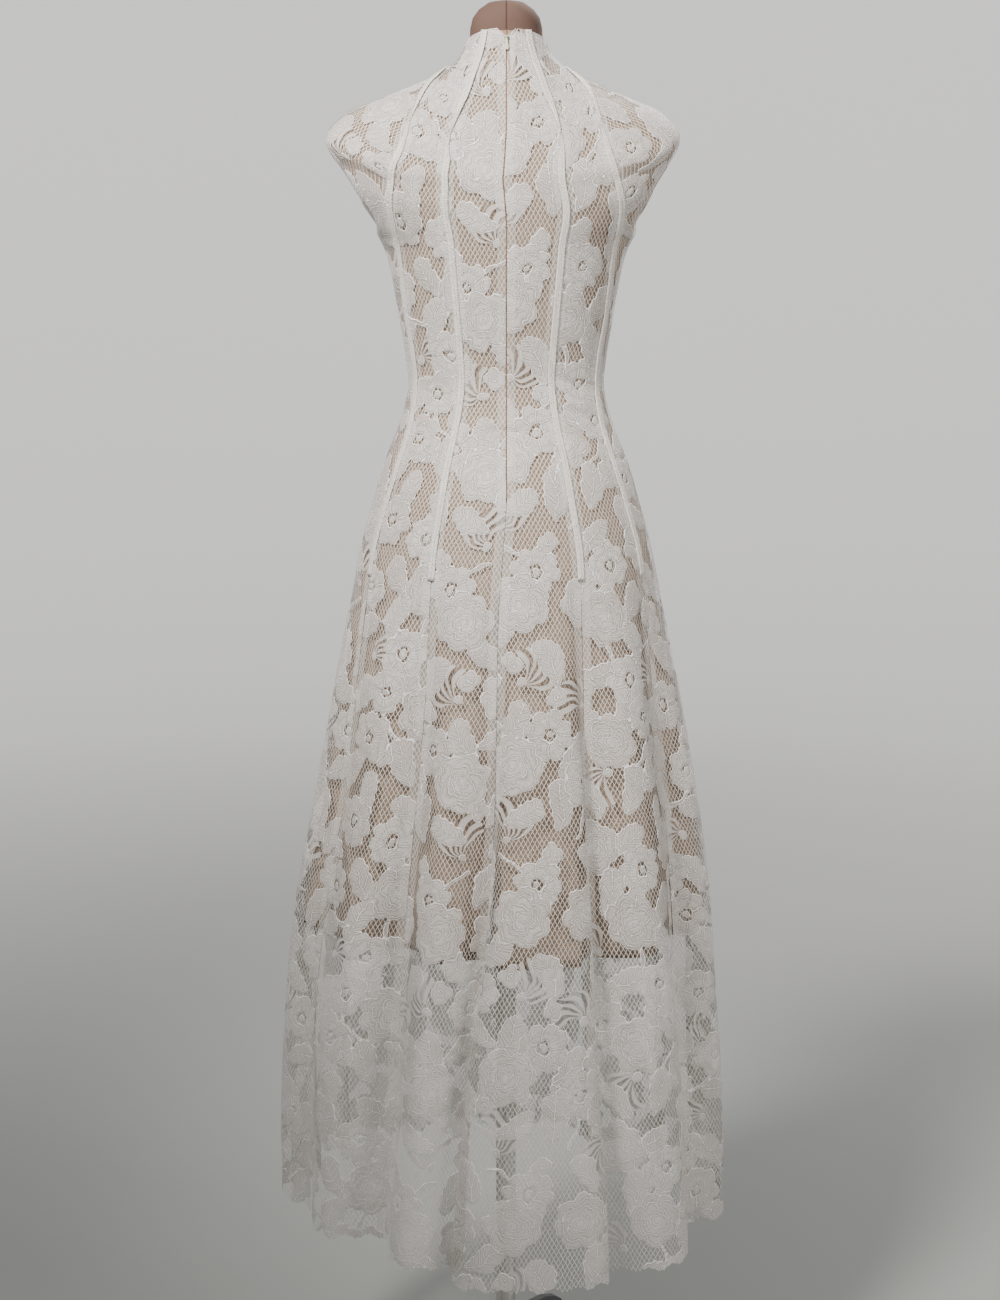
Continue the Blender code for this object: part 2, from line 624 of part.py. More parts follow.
def make_pull(material, collection):
    """The pull tab hangs from the bail's bar. It is a drop with a round eye at its top."""
    bar = Vector((0.0, BAIL_BAR_HEIGHT, 0.0))
    outline = bpy.data.curves.new("zip_pull", "CURVE")
    outline.dimensions = "2D"
    outline.fill_mode = "BOTH"
    outline.extrude = PULL_WALL / 2
    places = pull_outline()
    spline = outline.splines.new("POLY")
    spline.points.add(len(places) - 1)
    for control, (across, up) in zip(spline.points, places):
        control.co = (across, up, 0.0, 1.0)
    spline.use_cyclic_u = True
    flat = keep(outline, "outline", material, collection)
    bpy.context.view_layer.update()
    mesh = bpy.data.meshes.new_from_object(flat.evaluated_get(bpy.context.evaluated_depsgraph_get()))
    bpy.data.objects.remove(flat, do_unlink=True)
    bm = bmesh.new()
    bm.from_mesh(mesh)
    bmesh.ops.remove_doubles(bm, verts=bm.verts, dist=0.00001)
    for vertex in bm.verts:
        x, y, z = vertex.co
        vertex.co = bar + Vector((x, -z, y))
    bmesh.ops.recalc_face_normals(bm, faces=bm.faces)
    tab = keep(mesh_from(bm, "zip_pull", smooth=False), "zip_pull", material, collection)
    eye = cylinder_x("eye", bar, PULL_EYE_RADIUS, PULL_EYE_WIDTH, 20, material, collection)
    join_solids(tab, [eye])
    hole = cylinder_x("hole", bar, PULL_EYE_HOLE, PULL_EYE_WIDTH * 2, 16, material, collection)
    join_solids(tab, [hole], "DIFFERENCE")
    return set_on_slider(tab, math.radians(PULL_LEAN_DEGREES))


def upright(name, radius, low, high, sides, bevel, material, collection):
    """A standing cylinder with bevelled rims."""
    bm = bmesh.new()
    bmesh.ops.create_cone(
        bm, cap_ends=True, segments=sides, radius1=radius, radius2=radius, depth=high - low
    )
    bmesh.ops.translate(bm, verts=bm.verts, vec=(0.0, 0.0, (low + high) / 2))
    piece = keep(mesh_from(bm, name, smooth=False), name, material, collection)
    if bevel:
        rim = piece.modifiers.new("Rim", "BEVEL")
        rim.width = bevel
        rim.segments = 1
        rim.limit_method = "ANGLE"
    return piece


def make_leg(number, material, rubber, collection):
    turn = math.radians(FIRST_LEG_DEGREES + 360.0 / LEG_COUNT * number)
    outward = Vector((math.cos(turn), math.sin(turn), 0.0))
    start = HUB_RADIUS + PLAY
    foot_top = FOOT_HEIGHT + PLAY
    path = [(start, LEG_START_Z), (start + 0.012, LEG_START_Z)] + list(LEG_PATH)
    path += [(LEG_END, foot_top + 0.008), (LEG_END, foot_top)]
    curve = bpy.data.curves.new(f"stand_leg_{number + 1}", "CURVE")
    curve.dimensions = "3D"
    curve.bevel_depth = LEG_RADIUS
    curve.bevel_resolution = 2
    curve.use_fill_caps = True
    spline = curve.splines.new("POLY")
    spline.points.add(len(path) - 1)
    for control, (out, up) in zip(spline.points, path):
        place = outward * out
        control.co = (place.x, place.y, up, 1.0)
    keep(curve, curve.name, material, collection)
    foot = upright(
        f"stand_foot_{number + 1}", FOOT_RADIUS, 0.0, FOOT_HEIGHT, 16, FOOT_BEVEL, rubber, collection
    )
    foot.location = outward * LEG_END
    return foot


def main():
    clear_scene()
    collection = bpy.data.collections.new("lace_maxi_dress_on_dress_form")
    bpy.context.scene.collection.children.link(collection)
    materials = {name: make_material(name) for name in COLOURS}
    gores = {gore.name: gore for gore in GORES}
    for gore in GORES:
        make_lace(gore, materials["lace"], collection)
    for tape in TAPES:
        make_tape(tape, gores, materials["tape"], collection)
    make_lining(materials["lining"], collection)
    make_zip_tape(materials["tape"], collection)
    make_slider(materials["zip_metal"], collection)
    make_pull(materials["cream_enamel"], collection)
    make_form(materials["form_cloth"], collection)
    pole_low, pole_high = HUB_HIGH + PLAY, FORM_BASE_Z - PLAY
    upright("stand_pole", POLE_RADIUS, pole_low, pole_high, 20, 0.0, materials["brushed_steel"], collection)
    steel = materials["dark_steel"]
    upright("stand_hub", HUB_RADIUS, HUB_LOW, HUB_HIGH, 24, HUB_BEVEL, steel, collection)
    for number in range(LEG_COUNT):
        make_leg(number, steel, materials["black_rubber"], collection)


main()
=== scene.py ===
import math

import bmesh
import bpy
import numpy as np
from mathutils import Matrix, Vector


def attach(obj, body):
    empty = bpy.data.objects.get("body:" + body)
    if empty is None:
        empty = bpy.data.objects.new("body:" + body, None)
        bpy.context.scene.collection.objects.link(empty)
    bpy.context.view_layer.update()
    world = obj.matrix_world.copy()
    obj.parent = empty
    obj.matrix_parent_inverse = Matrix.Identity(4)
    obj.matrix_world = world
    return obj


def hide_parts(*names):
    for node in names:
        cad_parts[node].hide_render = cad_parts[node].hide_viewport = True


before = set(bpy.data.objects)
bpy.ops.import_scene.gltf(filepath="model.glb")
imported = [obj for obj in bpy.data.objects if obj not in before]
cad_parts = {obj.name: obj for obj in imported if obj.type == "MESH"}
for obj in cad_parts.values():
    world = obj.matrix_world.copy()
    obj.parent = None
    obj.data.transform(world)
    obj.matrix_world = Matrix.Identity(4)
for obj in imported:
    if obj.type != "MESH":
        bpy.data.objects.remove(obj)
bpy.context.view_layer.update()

# Lace gores
# Eleven long gores of ivory flower lace run from the collar to the hem. The lace is a net of fine thread
# with woven flowers and leaves and with cords round their edges. The gores are cut from one cloth, in
# mirrored pairs, and sewn edge to edge.


def ovals(*rows):
    """Rows of half width, y at the back and front, z at the side, back and front, or one z for all three."""
    return np.array([row if len(row) == 6 else row + row[3:] * 2 for row in rows])


RINGS = ovals(
    (0.0475, 0.049, -0.057, 1.720, 1.730, 1.705),
    (0.0550, 0.055, -0.063, 1.705, 1.702, 1.676),
    (0.0700, 0.066, -0.072, 1.691, 1.670, 1.645),
    (0.0850, 0.077, -0.084, 1.682, 1.641, 1.618),
    (0.1180, 0.087, -0.095, 1.668, 1.613, 1.592),
    (0.1550, 0.094, -0.107, 1.653, 1.589, 1.568),
    (0.1860, 0.098, -0.118, 1.640, 1.569, 1.548),
    (0.2110, 0.100, -0.127, 1.612, 1.553, 1.531),
    (0.2030, 0.100, -0.132, 1.584, 1.539, 1.517),
    (0.1920, 0.100, -0.135, 1.551, 1.523, 1.502),
    (0.1670, 0.099, -0.137, 1.510, 1.503, 1.489),
    (0.1475, 0.097, -0.138, 1.484, 1.482, 1.474),
    (0.1375, 0.093, -0.134, 1.450),
    (0.1290, 0.086, -0.120, 1.400),
    (0.1215, 0.080, -0.106, 1.355),
    (0.1190, 0.078, -0.099, 1.315),
    (0.1300, 0.089, -0.103, 1.270),
    (0.1480, 0.108, -0.110, 1.225),
    (0.1615, 0.126, -0.119, 1.180),
    (0.1790, 0.142, -0.131, 1.120),
    (0.1950, 0.159, -0.148, 1.050),
    (0.2165, 0.181, -0.170, 0.950),
    (0.2395, 0.204, -0.194, 0.830),
    (0.2610, 0.226, -0.217, 0.700),
    (0.2735, 0.245, -0.236, 0.560),
    (0.2815, 0.257, -0.249, 0.420),
    (0.2830, 0.262, -0.256, 0.280),
)
HEM = len(RINGS) - 1
ZIP_END = 17.9


def by_ring(table):
    """A (ring, value) table read off at each whole ring."""
    return np.interp(np.arange(HEM + 1), [row[0] for row in table], [row[1] for row in table])


def smooth(values, ring):
    """Each ring's value, on a smooth line through them, at any ring number between."""
    low = np.clip(np.floor(ring).astype(int), 0, HEM - 1)
    part = (ring - low).reshape((-1,) + (1,) * (values.ndim - 1))
    before, first = values[np.maximum(low - 1, 0)], values[low]
    last, after = values[low + 1], values[np.minimum(low + 2, HEM)]
    bend = 2 * before - 5 * first + 4 * last - after
    twist = 3 * (first - last) + after - before
    return first + 0.5 * part * ((last - before) + part * (bend + part * twist))


X_MIDDLE = by_ring(((4, 0.0), (7, 0.004), (10, 0.0), (22, 0.0), (24, 0.006), (26, 0.004)))
FLUTE_DEPTH = by_ring((
    (18, 0.0), (19, 0.001), (20, 0.005), (21, 0.013), (22, 0.023), (23, 0.032), (24, 0.040), (25, 0.046),
    (26, 0.051),
))
CENTRE_BACK = by_ring(((18, 0.0), (20, 2.8), (22, 3.6), (23, 4.8), (24, 7.5), (25, 10.0), (26, 12.0)))
BODICE_INNER = (
    (0, 31.0), (2, 34.0), (3, 34.0), (4, 29.5), (5, 25.0), (6, 20.8), (7, 18.6), (8, 19.6), (9, 21.4),
    (10, 24.2), (11, 26.0), (12, 26.8), (15, 26.4), (17, 27.8), (19, 28.7),
)
BODICE_OUTER = (
    (0, 90.0), (1, 90.0), (2, 88.3), (3, 80.0), (4, 60.0), (5, 46.5), (6, 40.0), (7, 37.2), (8, 40.2),
    (9, 44.5), (10, 53.0), (11, 60.0), (12, 64.0), (13, 66.0), (15, 65.0), (16, 61.5), (17, 60.0),
    (18, 61.5), (19, 62.3),
)
INNER_LEFT = by_ring(BODICE_INNER + ((21, 28.0), (22, 29.5), (24, 31.5), (25, 34.0), (26, 38.5)))
INNER_RIGHT = by_ring(BODICE_INNER + ((21, 26.5), (22, 25.5), (24, 25.5), (26, 26.5)))
OUTER_LEFT = by_ring(BODICE_OUTER + ((21, 58.5), (22, 57.0), (26, 64.0)))
OUTER_RIGHT = by_ring(BODICE_OUTER + ((21, 59.0), (23, 61.0), (26, 70.0)))
FRONT_OUTER = by_ring(BODICE_OUTER + ((22, 60.0), (26, 63.0)))
FRONT_INNER = by_ring((
    (0, 30.0), (2, 33.0), (4, 31.0), (7, 27.0), (9, 32.0), (11, 36.5), (13, 33.0), (15, 29.0),
    (18, 27.0), (26, 31.0),
))
ARMHOLE = by_ring(((7, 0.0), (8, 19.0), (9, 26.0), (10, 23.0), (11, 0.0)))
LEVEL = np.zeros(HEM + 1)
SEAMS = {"centre_back": CENTRE_BACK, "front_inner_beyond": 180 + FRONT_INNER}
for side, sign, inner, outer in (
    ("left", 1, INNER_LEFT, OUTER_LEFT), ("right", -1, INNER_RIGHT, OUTER_RIGHT),
):
    SEAMS["back_inner_" + side] = sign * inner
    SEAMS["back_outer_" + side] = sign * outer
    SEAMS["side_back_" + side] = sign * (90 - ARMHOLE)
    SEAMS["side_front_" + side] = sign * (90 + ARMHOLE)
    SEAMS["front_outer_" + side] = sign * (180 - FRONT_OUTER)
    SEAMS["front_inner_" + side] = sign * (180 - FRONT_INNER)
VALLEYS = (
    (LEVEL - 180, 0.8), (SEAMS["front_inner_right"], 1.0), (SEAMS["front_outer_right"], 1.0),
    (LEVEL - 90, 1.0), (SEAMS["back_outer_right"], 0.9), (SEAMS["back_inner_right"], 1.0),
    (CENTRE_BACK, 1.0), (INNER_LEFT, 1.0), (OUTER_LEFT, 0.4), (LEVEL + 90, 1.0),
    (SEAMS["front_outer_left"], 1.0), (SEAMS["front_inner_left"], 1.0), (LEVEL + 180, 0.8),
)  # the valleys round the skirt, each with its share of the full depth
CENTRE_FLUTE, CENTRE_LEAN = 5, 0.25  # the flute beside the centre back, and how far it leans
FLUTE_POWER, CENTRE_POWER, SLOPE_POWER = 1.2, 2.8, 1.4
BUST_OUT, BUST_DEGREES, BUST_HALF_WIDTH, BUST_HEIGHT, BUST_HALF_HEIGHT = 0.013, 36, 21, 1.478, 0.050
HEM_RISE_RING = 22
HEM_RISE = ((-180, 0.010), (-90, 0.004), (-30, -0.008), (10, 0.004), (25, 0.020), (90, 0.040), (180, 0.010))
CREASES = (
    # degrees, z, half length, half width, depth, lean: soft pulls of the cloth over the waist and hip
    (-46, 1.318, 0.030, 0.0050, -0.0016, 0.35), (-40, 1.296, 0.026, 0.0055, 0.0014, 0.30),
    (-50, 1.280, 0.022, 0.0045, -0.0012, 0.40), (4, 1.272, 0.024, 0.0040, 0.0012, -0.10),
    (-8, 1.262, 0.022, 0.0045, -0.0011, 0.12), (44, 1.300, 0.024, 0.0050, -0.0012, -0.35),
    (52, 1.326, 0.020, 0.0045, 0.0010, -0.30), (140, 1.318, 0.026, 0.0050, -0.0013, 0.30),
    (215, 1.300, 0.028, 0.0055, -0.0014, -0.25), (178, 1.268, 0.026, 0.0045, 0.0011, 0.08),
    (100, 1.452, 0.022, 0.0050, -0.0013, 0.9), (-98, 1.446, 0.024, 0.0055, -0.0013, -0.9),
)


def cloth(ring, degrees):
    """Points of the outside of the dress, for arrays of ring numbers and degrees."""
    size = smooth(RINGS, ring)
    turned = (degrees + 180) % 360 - 180
    turn, depth = degrees.copy(), np.zeros(len(ring))
    full = smooth(FLUTE_DEPTH, ring)
    for number, ((low_seam, low_share), (high_seam, high_share)) in enumerate(zip(VALLEYS, VALLEYS[1:])):
        low, high = smooth(low_seam, ring), smooth(high_seam, ring)
        here = (turned >= low) & (turned <= high)
        across = (turned - low) / np.maximum(high - low, 0.001)
        share = np.where(across < 0.5, low_share, high_share)
        wave = np.maximum(0.5 + 0.5 * np.cos(2 * np.pi * across), 0)
        if number == CENTRE_FLUTE:
            shift = CENTRE_LEAN * full / FLUTE_DEPTH[-1] * np.sin(2 * np.pi * across) * (high - low)
            turn = np.where(here, degrees - shift, turn)
            depth = np.where(here, share * wave ** CENTRE_POWER, depth)
        else:
            depth = np.where(here, share * wave ** FLUTE_POWER, depth)
    side, back = np.sin(np.radians(turn)), np.cos(np.radians(turn))
    y_end = np.where(back > 0, size[:, 1], size[:, 2])
    z_end = np.where(back > 0, size[:, 4], size[:, 5])
    rise = np.abs(back) ** SLOPE_POWER
    x = smooth(X_MIDDLE, ring) + size[:, 0] * side
    y = y_end * np.abs(back)
    z = size[:, 3] + (z_end - size[:, 3]) * rise
    length = np.hypot(x, y)
    round_bust = (180 - np.abs(turned) - BUST_DEGREES) / BUST_HALF_WIDTH
    bust = BUST_OUT * np.exp(-round_bust ** 2 - ((z - BUST_HEIGHT) / BUST_HALF_HEIGHT) ** 2)
    out = bust - full * depth
    for at, height, half_length, half_width, deep, lean in CREASES:
        away = ((turned - at + 180) % 360 - 180) * np.pi / 180 * length
        along, aside = away + (z - height) * lean, (z - height) - away * lean
        out = out + deep * np.exp(-(along / half_length) ** 2 - (aside / half_width) ** 2)
    rise = np.interp(turned, *zip(*HEM_RISE)) * np.maximum(ring - HEM_RISE_RING, 0) / (HEM - HEM_RISE_RING)
    return np.stack((x + x / length * out, y + y / length * out, z + rise), axis=1)


def outward(ring, degrees):
    """The directions out of the cloth at its points."""
    down = cloth(np.minimum(ring + 0.2, HEM), degrees) - cloth(np.maximum(ring - 0.2, 0), degrees)
    along = cloth(ring, degrees + 0.8) - cloth(ring, degrees - 0.8)
    normal = np.cross(along, down)
    return normal / np.linalg.norm(normal, axis=1, keepdims=True)


def lengths(points):
    """The distance along a row of points from its start."""
    steps = np.linalg.norm(np.diff(points, axis=0), axis=1)
    return np.concatenate(([0.0], np.cumsum(steps)))


def linear(hex_colour):
    """An sRGB hex colour as Blender's linear one."""
    parts = [int(hex_colour[place:place + 2], 16) / 255 for place in (1, 3, 5)]
    return [part / 12.92 if part <= 0.04045 else ((part + 0.055) / 1.055) ** 2.4 for part in parts] + [1.0]


def node(tree, kind, settings=None, **links):
    """Adds a node. A value, colour, socket or node is given by its input's name, or by i and its number."""
    made = tree.nodes.new(kind)
    for name, value in (settings or {}).items():
        setattr(made, name, value)
    for name, value in links.items():
        socket = made.inputs[int(name[1:])] if name[1:].isdigit() else made.inputs[name.replace("_", " ")]
        if isinstance(value, bpy.types.Node):
            value = value.outputs[0]
        if isinstance(value, str):
            value = linear(value)
        if isinstance(value, bpy.types.NodeSocket):
            tree.links.new(value, socket)
        else:
            socket.default_value = value
    return made


def new_finish(name, **values):
    """A named material and its shader, with values set on the shader's own sockets."""
    finish = bpy.data.materials.new(name)
    finish.use_nodes = True
    shader = finish.node_tree.nodes["Principled BSDF"]
    for socket, value in values.items():
        shader.inputs[socket.replace("_", " ")].default_value = value
    return finish, finish.node_tree, shader


def set_look(tree, shader, tone, relief=None, strength=0.3, rise=0.0003):
    """Gives a shader its colour and, where there is one, a relief of some height in metres."""
    tree.links.new(tone, shader.inputs["Base Color"])
    if relief is not None:
        bump = node(tree, "ShaderNodeBump", Strength=strength, Distance=rise, Height=relief)
        tree.links.new(bump.outputs[0], shader.inputs["Normal"])


def speckled_finish(name, dark, light, scale, detail, stretch=None, raised=False, **values):
    """A finish whose colour wanders between two tones, from noise at a scale in spots a metre."""
    finish, tree, shader = new_finish(name, **values)
    place = node(tree, "ShaderNodeTexCoord").outputs["Object"]
    if stretch:
        place = node(tree, "ShaderNodeMapping", Vector=place, Scale=stretch)
    spots = node(tree, NOISE, Vector=place, Scale=scale, Detail=detail)
    tone = node(tree, MIX, COLOURS, i0=spots, i6=dark, i7=light).outputs[2]
    set_look(tree, shader, tone, spots if raised else None)
    return finish


MATH, VECTORS, RANGE, MIX = "ShaderNodeMath", "ShaderNodeVectorMath", "ShaderNodeMapRange", "ShaderNodeMix"
NOISE, WAVE = "ShaderNodeTexNoise", "ShaderNodeTexWave"
ABSOLUTE, ADD, MAXIMUM, MINIMUM, MULTIPLY, MULTIPLY_ADD, SUBTRACT = [{"operation": name} for name in (
    "ABSOLUTE", "ADD", "MAXIMUM", "MINIMUM", "MULTIPLY", "MULTIPLY_ADD", "SUBTRACT")]
SMOOTH, COLOURS = {"interpolation_type": "SMOOTHSTEP"}, {"data_type": "RGBA"}


def band(tree, value, half, soft):
    """1 where the value is nearer zero than half, falling to 0 over soft."""
    size = node(tree, MATH, ABSOLUTE, i0=value)
    return node(tree, RANGE, SMOOTH, Value=size, From_Min=half, From_Max=half + soft, To_Min=1.0, To_Max=0.0)


# The pattern repeats every 270 mm across and 360 mm down.
REPEAT = np.array((0.270, 0.360))
NET_WIDTH, NET_HEIGHT = 0.0054, 0.0094
OUT_OF_TRUE = 0.0014  # how far the cloth is drawn this way and that, so that no two motifs are quite the same
SEAM_ALLOWANCE = 0.010
FAR = 0.05  # metres, for where no motif or cord is near
SLOPE = 0.85  # turns a distance along a radius to about the shortest one
COMB_HALF_TURN, COMB_TWIST, COMB_BARS = 0.92, 1.25, 4.5  # two in radians, and the bars in each half
MOTIFS = {
    # kind: x mm, y mm, size mm, turn in degrees, in the order in which they lie on each other
    "leaf": (
        (88, 66, 50, 35), (22, 98, 56, 115), (158, 100, 50, 62), (228, 80, 54, 78), (66, 168, 54, 64),
        (104, 168, 46, 160), (160, 152, 52, 115), (216, 182, 50, 20), (120, 246, 54, 128),
        (186, 232, 52, 84), (12, 262, 54, 92), (54, 268, 48, 30), (112, 338, 54, 118), (188, 318, 56, 72),
        (240, 330, 48, 122), (262, 200, 46, 50), (148, 356, 46, 90), (202, 16, 48, 30),
    ),
    "comb": (
        (52, 118, 52, 200), (244, 150, 50, 300), (74, 300, 54, 235), (212, 300, 50, 20),
        (128, 196, 50, 330), (8, 226, 48, 150),
    ),
    "stem": (
        (122, 150, 52, 30), (196, 150, 56, 115), (158, 272, 54, 60), (250, 276, 52, 80), (60, 330, 50, 140),
    ),
    "bud": (
        (64, 96, 13, 0), (192, 86, 12, 40), (230, 200, 13, 0), (88, 246, 13, 10), (160, 312, 12, 30),
        (20, 316, 12, 0), (12, 136, 12, 20),
    ),
    "flower": (
        (126, 34, 30, 10), (184, 54, 28, 40), (106, 116, 28, 70), (22, 180, 30, 25), (172, 192, 29, 0),
        (246, 236, 30, 50), (154, 236, 26, 15), (36, 350, 29, 35), (136, 292, 30, 65),
    ),
    "rose": (
        (54, 28, 35, 0), (242, 26, 33, 60), (200, 116, 33, 30), (64, 214, 34, 80), (206, 262, 33, 110),
    ),
}


def motif_fields(flat):
    """What the lace shows at flat places: its distance inside a motif, to the nearest cord, and so on."""
    x, y = flat.T
    flat = flat + OUT_OF_TRUE * np.stack((
        np.sin(y * 133 + 2 * np.sin(x * 71)) + 0.7 * np.sin(x * 260 + y * 190),
        np.sin(x * 121 + 2 * np.sin(y * 83)) + 0.7 * np.sin(y * 270 - x * 170)), axis=1)
    count = len(flat)
    inside, cord, tone = np.full(count, -FAR), np.full(count, FAR), np.zeros(count)
    veins = np.full((count, 3), FAR)
    comb = np.tile((-FAR, 0.0, 0.0), (count, 1))
    placed = [(kind, *motif) for kind, motifs in MOTIFS.items() for motif in motifs]
    for order, (kind, x, y, size, turn) in enumerate(placed):
        offset = (flat - (x / 1000, y / 1000) + REPEAT / 2) % REPEAT - REPEAT / 2
        near = np.flatnonzero((np.abs(offset) < size / 1000 * 1.25).all(axis=1))
        size, angle = size / 1000, math.radians(turn)
        a = offset[near, 0] * math.cos(angle) + offset[near, 1] * math.sin(angle)
        b = offset[near, 1] * math.cos(angle) - offset[near, 0] * math.sin(angle)
        radius, round_it = np.hypot(a, b), np.arctan2(b, a)
        blank = np.full(len(a), FAR)
        if kind == "leaf":
            # A bowed leaf with a wavy edge, a midrib and slanting side veins.
            b = b - 0.10 * size * np.cos(a / size * 2.6)
            along = np.clip(a / (size * 0.56), -1, 1)
            half = size * 0.27 * (1 - along ** 2) ** 0.62 * (1 - 0.34 * along)
            half = half + 0.0010 * np.sin((a + 0.3 * np.abs(b)) * 2 * np.pi / 0.0105)
            half = half - np.maximum(np.abs(a) - size * 0.56, 0) * 2
            distance = (half - np.abs(b)) * SLOPE
            lines = (b, np.sin((a + np.abs(b) * 0.9) * 2 * np.pi / 0.017) * 0.0027, blank)
        elif kind == "stem":
            # A short bowed twig.
            bow = np.abs(np.hypot(a, b + size) - size)
            distance = np.minimum(0.0017 - bow, size * 0.5 - np.abs(a))
            lines = (blank, blank, blank)
        elif kind == "bud":
            # Four small petals round an eye.
            edge = size * (0.70 + 0.30 * np.abs(np.cos(2 * round_it)) ** 0.7)
            distance = (edge - radius) * SLOPE
            lines = (radius * np.sin(2 * round_it + np.pi / 2), radius - size * 0.30, blank)
        elif kind == "flower":
            # Seven or eight petals round an open eye with a knot in it.
            petals = 7 + order % 2
            lobe = np.abs(np.cos(petals / 2 * round_it)) ** 0.5
            edge = size * (0.73 + 0.28 * lobe + 0.024 * np.cos(petals * 4 * round_it))
            hole = size * (0.30 + 0.025 * np.cos(5 * round_it))
            distance = np.minimum(edge - radius, radius - hole) * SLOPE
            distance = np.maximum(distance, size * 0.135 - radius)
            ripple = 0.05 * size * np.cos(petals * 2 * round_it)
            lines = (
                np.where(radius > hole, radius * np.cos(petals / 2 * round_it) * 2 / petals, FAR),
                radius - 0.66 * edge + ripple,
                radius * np.sin(petals * 2 * round_it) / (petals * 2),
            )
        elif kind == "rose":
            # Scalloped petals in rings, one inside the other.
            lobe = np.abs(np.cos(3.5 * round_it)) ** 0.55
            edge = size * (0.79 + 0.22 * lobe + 0.022 * np.cos(28 * round_it))
            distance = (edge - radius) * SLOPE
            arcs = [np.zeros(len(a))]
            for share, petals, phase in ((0.17, 2, 0.4), (0.36, 3, 1.3), (0.56, 4, 0.2), (0.77, 5, 0.9)):
                scallop = np.abs(np.cos(petals / 2 * round_it + phase))
                shift = 0.05 * np.cos(round_it + phase * 5)
                arcs.append(edge * (share * (0.84 + 0.30 * scallop ** 0.7) + shift))
            arcs.append(edge * 1.02)
            stage = np.zeros(len(a))
            for low_arc, high_arc in zip(arcs, arcs[1:]):
                stage += np.clip((radius - low_arc) / np.maximum(high_arc - low_arc, 0.001), 0, 1)
            lines = (
                np.sin(stage * np.pi) * 0.0024,
                np.where(radius > arcs[4], radius * np.cos(3.5 * round_it) / 3.5, FAR),
                radius * np.sin(14 * round_it) / 14,
            )
        else:
            # A fan of bent bars. Its distance and turn are kept apart, and the finish draws the bars.
            bent = round_it - (radius / size - 0.3) * COMB_TWIST
            bent = (bent + np.pi) % (2 * np.pi) - np.pi
            envelope = np.minimum(size * (COMB_HALF_TURN - 0.25 * np.abs(bent)) - radius, radius - 0.004)
            envelope = np.minimum(envelope, (COMB_HALF_TURN - np.abs(bent)) * np.maximum(radius, 0.004))
            front = envelope > comb[near, 0]
            chosen = near[front]
            comb[chosen, 0] = envelope[front]
            comb[chosen, 1] = (bent[front] / COMB_HALF_TURN * COMB_BARS) / 1000
            distance = 0.005 - radius
            lines = (blank, blank, blank)
        covers = distance > 0
        closer = ~covers & (np.abs(distance) < np.abs(cord[near]))
        cord[near] = np.where(covers | closer, distance, cord[near])
        inside[near] = np.where(covers, distance, np.maximum(inside[near], distance))
        for column, line in enumerate(lines):
            veins[near, column] = np.where(covers, line, veins[near, column])
        tone[near] = np.where(covers, math.sin(order * 2.4), tone[near])
    return {
        "motif": np.stack((inside * 1000, cord * 1000, tone), axis=1),
        "veins": veins * 1000,
        "comb": comb * 1000,
    }


def strip_faces(counts):
    """Faces between rows of points whose counts may differ, given how many spaces each row has."""
    faces, start = [], 0
    for upper, lower in zip(counts, counts[1:]):
        below = start + upper + 1
        if upper == lower:
            for number in range(upper):
                faces.append((start + number, start + number + 1, below + number + 1, below + number))
        else:
            i = j = 0
            while i < upper or j < lower:
                if j == lower or (i < upper and (i + 1) * lower <= (j + 1) * upper):
                    faces.append((start + i, start + i + 1, below + j))
                    i += 1
                else:
                    faces.append((start + i, below + j + 1, below + j))
                    j += 1
        start = below
    return faces


def ring_faces(row_count, count):
    """Faces between closed rows of points, each with the same count."""
    faces = []
    for row in range(row_count - 1):
        upper, lower = row * count, (row + 1) * count
        for number in range(count):
            following = (number + 1) % count
            faces.append((upper + number, upper + following, lower + following, lower + number))
    return faces


def keep(name, points, faces, finish):
    """A mesh piece with its finish."""
    mesh = bpy.data.meshes.new(name)
    mesh.from_pydata([tuple(point) for point in points], [], faces)
    mesh.shade_smooth()
    mesh.materials.append(finish)
    piece = bpy.data.objects.new(name, mesh)
    bpy.context.scene.collection.objects.link(piece)
    return piece


def lay_flat(piece, flat):
    """Writes flat places, in metres of cloth, to the piece's UV map."""
    layer = piece.data.uv_layers.new(name="cloth")
    corners = np.zeros(len(piece.data.loops), int)
    piece.data.loops.foreach_get("vertex_index", corners)
    layer.data.foreach_set("uv", flat[corners].astype(np.float32).ravel())


